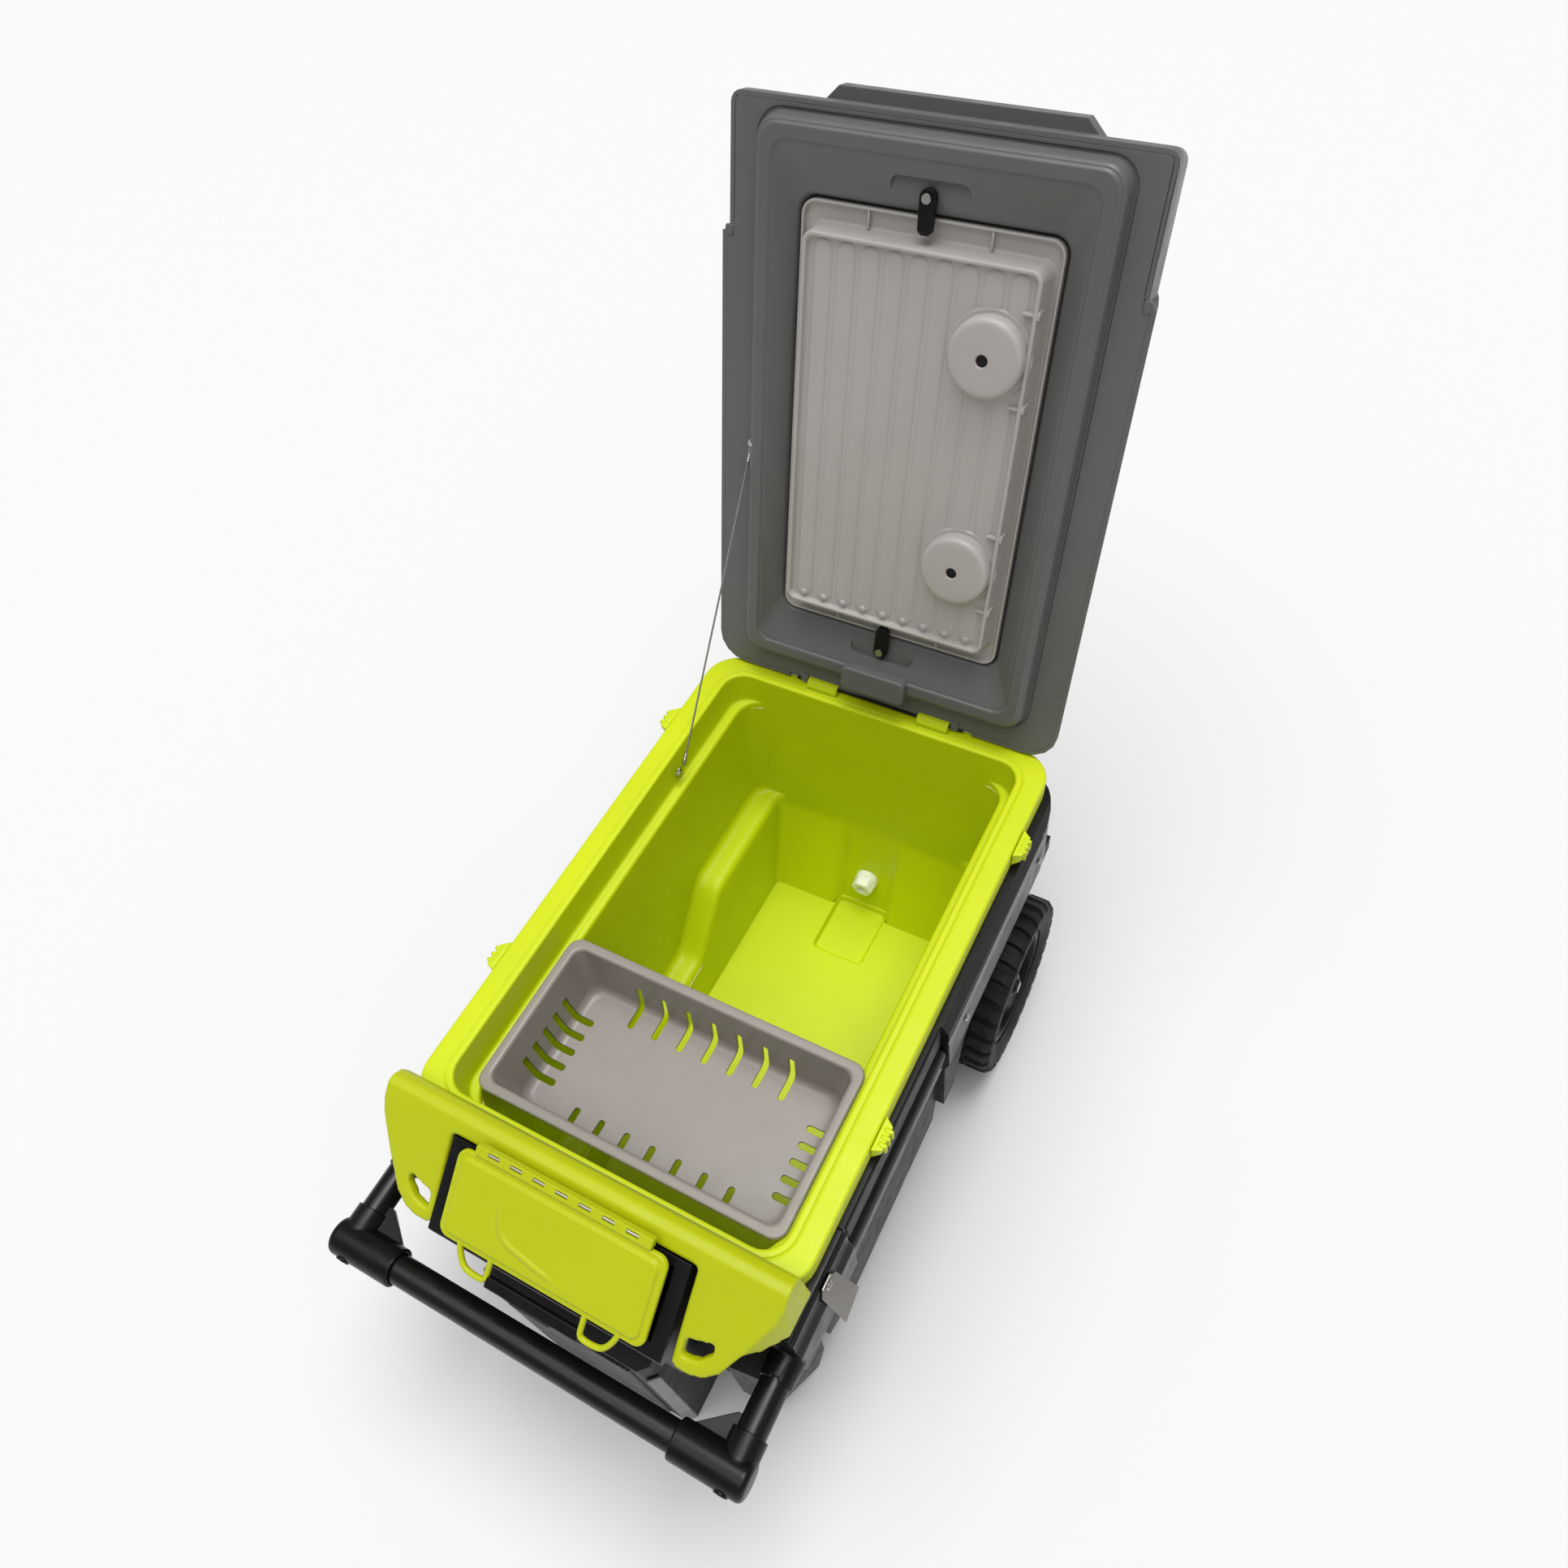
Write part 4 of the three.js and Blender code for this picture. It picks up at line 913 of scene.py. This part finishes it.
def spoke(centre, angle):
    """A tapering spoke with a raised rib down its middle."""
    points, faces = [], []
    sections = [(16, 7.0, 12.0, 17.0), (30, 6.4, 9.0, 14.0), (52, 7.6, 5.0, 9.0), (73.5, 11.5, 4.0, 7.0)]
    for r, width, face, ridge in sections:
        section = [(-4, -width), (-4, width), (face, width), (ridge, 2.0), (ridge, -2.0), (face, -width)]
        for x, across in section:
            points.append(around(centre, angle, x, r, across))
    for k in range(len(sections) - 1):
        for i in range(6):
            j = (i + 1) % 6
            faces.append([6 * k + i, 6 * k + j, 6 * (k + 1) + j, 6 * (k + 1) + i])
    faces.append([5, 4, 3, 2, 1, 0])
    faces.append([6 * (len(sections) - 1) + i for i in range(6)])
    return points, faces


add_wheels()


# ---- storage flap --------------------------------------------------------------------------------
def sloped(shape, top, low):
    """A shape drawn as (x, distance down a slope, height over it), laid on the slope."""
    run, drop = low[0] - top[0], low[1] - top[1]
    size = math.hypot(run, drop)
    run, drop = run / size, drop / size
    points, faces = shape
    return [(x, top[0] + t * run + h * drop, top[1] + t * drop - h * run) for x, t, h in points], faces


FLAP_TOP, FLAP_LOW = (-701.0, 491.0), (-779.0, 422.0)


def add_flap():
    def outline(inset, r):
        return ring(125 - inset, 4.5 + inset, 103 - inset, r, 2, 2, 7)

    shapes = [loft([
        (outline(1.2, 11), -9, 0),
        (outline(0, 12), -8.6, 1),
        (outline(0, 12), -3.2, 2.6),
        (outline(6.6, 9), -3.2, 1.4),
        (outline(8.2, 8.6), -0.1, 2.6),
        (outline(24, 4), 0.5, 0)], 4)]
    # A low swept bead on the panel.
    path = [(-57, 26), (-58, 44), (-56, 60), (-50, 69), (-40, 74), (-20, 78), (5, 82), (35, 87)]
    shapes.append(bead(path, 4.6, 1.7))
    # Two loops at the panel's lower edge.
    for side in (-1, 1):
        loop = [(98, 97), (93.5, 112), (85, 124.5), (70, 126.5), (57.5, 125), (57.5, 97)]
        shapes.append(bar([(x * side, t) for x, t in loop], 3.2, -5.6))
    piece("storage_flap_moulding", [sloped(shape, FLAP_TOP, FLAP_LOW) for shape in shapes], "lime_plastic",
          "storage_flap", ["storage_flap"], sharp=45)

    # The fixed leaf, flush with the flap, shows its pin in a row of small windows.
    strip = loft([(ring(105, -8, 3.6, 2.4), -9, 0), (ring(105, -8, 3.6, 2.4), -0.6, 1.2),
                  (ring(103.6, -6.6, 2.2, 1.4), -0.5, 0)])
    leaf = piece("flap_hinge_leaf", [sloped(strip, FLAP_TOP, FLAP_LOW)], "lime_plastic", "tub",
                 ["flap_hinge_strip"], even=False)
    windows, pins = [], []
    for i in range(7):
        x = (i - 3) * 27.5
        window = block(x - 7, x + 7, -5.6, -0.7, -5.4, 3, 1)
        windows.append(sloped(window, FLAP_TOP, FLAP_LOW))
        profile = [(x - 7.5, 0.01), (x - 7.5, 1.6), (x + 7.5, 1.6), (x + 7.5, 0.01)]
        pins.append(lathe(profile, (0, -697.2, 491.2), "x", 20, [0, 0.3, 0.3, 0]))
    cut(leaf, windows)
    weigh(leaf)
    piece("flap_hinge_pin", pins, "stainless_steel", "tub")


def bead(path, half, height):
    """A low rounded bead along a path on a flat face."""
    points, faces = [], []
    across = [(-1, -0.6), (-0.7, 0.45), (-0.3, 0.9), (0, 1), (0.3, 0.9), (0.7, 0.45), (1, -0.6)]
    fine = rounded_path([Vector((x, t, 0)) for x, t in path], [12] * len(path), 4)
    for i, p in enumerate(fine):
        a, b = fine[max(0, i - 1)], fine[min(len(fine) - 1, i + 1)]
        way = (b - a).normalized()
        fade = min(1.0, i / 3, (len(fine) - 1 - i) / 3) + 0.02
        for u, h in across:
            points.append((p.x - way.y * u * half, p.y + way.x * u * half, 0.35 + h * height * fade))
    n = len(across)
    for i in range(len(fine) - 1):
        for k in range(n - 1):
            faces.append([i * n + k, (i + 1) * n + k, (i + 1) * n + k + 1, i * n + k + 1])
    return points, faces


def bar(path, radius, height):
    """A round bar along a path in a plane at one height."""
    sides = 14
    fine = rounded_path([Vector((x, t, height)) for x, t in path], [7] * len(path), 4)
    points = []
    for i, p in enumerate(fine):
        a, b = fine[max(0, i - 1)], fine[min(len(fine) - 1, i + 1)]
        way = (b - a).normalized()
        for k in range(sides):
            angle = 2 * math.pi * k / sides
            u, h = radius * math.cos(angle), radius * 1.1 * math.sin(angle)
            points.append((p.x - way.y * u, p.y + way.x * u, p.z + h))
    faces = tube_faces(len(fine) - 1, sides)
    faces.append([k for k in reversed(range(sides))])
    faces.append([(len(fine) - 1) * sides + k for k in range(sides)])
    return points, faces


add_flap()


# ---- small fittings ------------------------------------------------------------------------------
DRAIN_Z = 108
NUT_SIDES = 72


def polar(cx, cy, radius):
    """Points around a centre, with a radius that depends on the angle."""
    out = []
    for i in range(NUT_SIDES):
        angle = 2 * math.pi * i / NUT_SIDES
        r = radius(angle)
        out.append((cx + r * math.cos(angle), cy + r * math.sin(angle)))
    return out


def lobed(cx, cy, r, depth):
    """A circle with six low lobes."""
    return polar(cx, cy, lambda angle: r * (1 + depth * math.cos(6 * angle)))


def hexagon(cx, cy, flat):
    """Points of a hexagon, given from its middle to a side."""
    return polar(cx, cy, lambda angle: flat / math.cos(angle % (math.pi / 3) - math.pi / 6))


def swung(shape, y):
    """A loft made along z, turned so that its height runs along -y from y."""
    points, faces = shape
    return [(px, y - pz, py) for px, py, pz in points], faces


LID_SCREW = (-187.0, 103.6, 753.4)


def add_fittings():
    # Drain nut: a flange, a lobed grip and a hexagonal bore.
    flange = circle(0, DRAIN_Z, 17.2, NUT_SIDES)
    bore = hexagon(0, DRAIN_Z, 6.5)
    nut = loft([
        (flange, -7, 0),
        (flange, 3, 1),
        (lobed(0, DRAIN_Z, 16.2, 0.04), 3.4, 0.5),
        (lobed(0, DRAIN_Z, 15.2, 0.05), 18, 2.6),
        (bore, 18, 0.8),
        (bore, 8, 0)], 3)
    piece("drain_nut_moulding", [swung(nut, -43.8)], "drain_plastic", "tub", ["drain_nut"])

    # Cable ends: an eye under a screw and a crimped ferrule, at the tub and at the lid.
    start, end = Vector(CABLE_FROM), Vector(CABLE_TO)
    way = (end - start).normalized()
    low = ferrule(start + way * 3, way, 17)
    eye = lathe([(-1.0, 2.6), (-1.0, 5.6), (1.0, 5.6), (1.0, 2.6)], (-199.3, -162, 420.5), "x", 32,
                [0.3, 0.6, 0.6, 0.3])
    piece("stay_ferrule_tub", [low, eye], "stainless_steel", "tub")
    high = ferrule(end - way * 3, -way, 17)
    head = [(-9, 0.01), (-9, 4.4), (-10.8, 3.4), (-11.2, 0.01)]
    washer = [(-6, 0.01), (-6, 6.6), (-9, 6.2), (-9, 0.01)]
    screw = [spun(lathe(head, (0, 0, 0), "z", 32, [0, 0.8, 1, 0]), LID_SCREW),
             spun(lathe(washer, (0, 0, 0), "z", 32, [0, 0.6, 0.8, 0]), LID_SCREW)]
    piece("stay_screw_lid", [high] + screw, "stainless_steel", "lid")


def spun(shape, where):
    """A shape made along z about the origin, turned as the open lid is and set at a point."""
    a = math.radians(LID_OPEN)
    points, faces = shape
    return [(where[0] + x, where[1] + y * math.cos(a) + z * math.sin(a),
             where[2] - y * math.sin(a) + z * math.cos(a)) for x, y, z in points], faces


def ferrule(start, way, length):
    """A short crimped sleeve with a coiled strain relief."""
    u = way.cross(Vector((1, 0, 0))).normalized()
    v = way.cross(u)
    rows, sides = 40, 20
    points = []
    for k in range(rows + 1):
        t = k / rows
        r = 2.9 if t < 0.45 else 2.2 + 0.25 * math.sin(t * 75)
        r *= 0.35 if k in (0, rows) else 1
        centre = start + way * (length * t)
        for i in range(sides):
            angle = 2 * math.pi * i / sides
            points.append(tuple(centre + u * (r * math.cos(angle)) + v * (r * math.sin(angle))))
    return points, tube_faces(rows, sides)


add_fittings()


# ---- CAD nodes that get moulded edges, and the ones that stay ------------------------------------
def add_moulded():
    soft_copy("front_bumper", "front_bumper_moulding", 2.2, 8)
    for name in ("left", "right"):
        soft_copy(f"handle_socket_{name}", f"handle_socket_{name}_moulding", 1.5, 6)
        soft_copy(f"hinge_knuckle_{name}", f"hinge_knuckle_{name}_moulding", 0.9, 5)
    soft_copy("bottle_opener", "bottle_opener_plate", 0.55, 3)
    soft_copy("flap_latch", "flap_latch_bar", 1.0, 6)
    for place in ("front_left", "front_right", "rear_left", "rear_right"):
        soft_copy(f"tie_down_cleat_{place}", f"tie_down_cleat_{place}_moulding", 0.7, 4)
    for place in ("front", "rear"):
        soft_copy(f"tray_clip_{place}", f"tray_clip_{place}_moulding", 0.7, 4)


add_moulded()

# Edge rounding of the CAD nodes that stay, by the start of their names.
BEVELS = {
    "outer_body": 4.0, "lid_shell": 2.2, "side_rail": 1.8, "side_skirt": 1.6, "side_strip": 0.7,
    "rail_trim": 0.9, "storage_bin": 1.8, "front_foot_frame": 2.0, "front_mesh_panel": 0.8,
    "front_corner_guard": 3.0, "drain_spout": 0.6, "drain_cap": 1.2, "axle": 0.6, "hinge_pin": 0.4,
    "stay_screw": 0.5, "rail_screw": 0.4, "opener_screw": 0.5, "tray_clip": 0.4, "lid_foam": 0.0,
    "insulation_foam": 0.0,
}
FOAM_BACK = 6


def keep_the_rest():
    for node, obj in sorted(NODES.items()):
        if obj.hide_render:
            continue
        keep_cad(node, next(v for k, v in BEVELS.items() if node.startswith(k)))
        if node in ("insulation_foam", "lid_foam"):
            back = obj.modifiers.new("clear_of_the_skins", "DISPLACE")
            back.mid_level = 0
            back.strength = -FOAM_BACK * MM


def add_foot_trims():
    """Light strips on the chamfers of the front foot."""
    for name, side in (("left", -1), ("right", 1)):
        outline = [(112.3, -774.5), (113.2, -776.6), (103.0, -787.0), (100.8, -786.4)]
        strip = plate(outline, 8, 262, 0.6)
        piece(f"front_foot_trim_{name}", sided(side, [strip]), "trim_plastic", "tub")


keep_the_rest()
add_foot_trims()

# Pieces with a material of their own within their slot: a darker lime that is painted shade on the front bumper,
# flap and hinge leaf, a darker steel on the opener plate, and a woven relief on the mesh panel.
OWN_FINISH_OR_PAINTED_SHADE = {
    "front_bumper_moulding": "lime_in_painted_shade",
    "storage_flap_moulding": "lime_in_painted_shade",
    "flap_hinge_leaf": "lime_in_painted_shade",
    "bottle_opener_plate": "opener_steel",
    NODES["front_mesh_panel"].name: "mesh_plastic",
}
for name, finish_or_shade in OWN_FINISH_OR_PAINTED_SHADE.items():
    bpy.data.objects[name].data.materials[0] = MATERIALS[finish_or_shade]
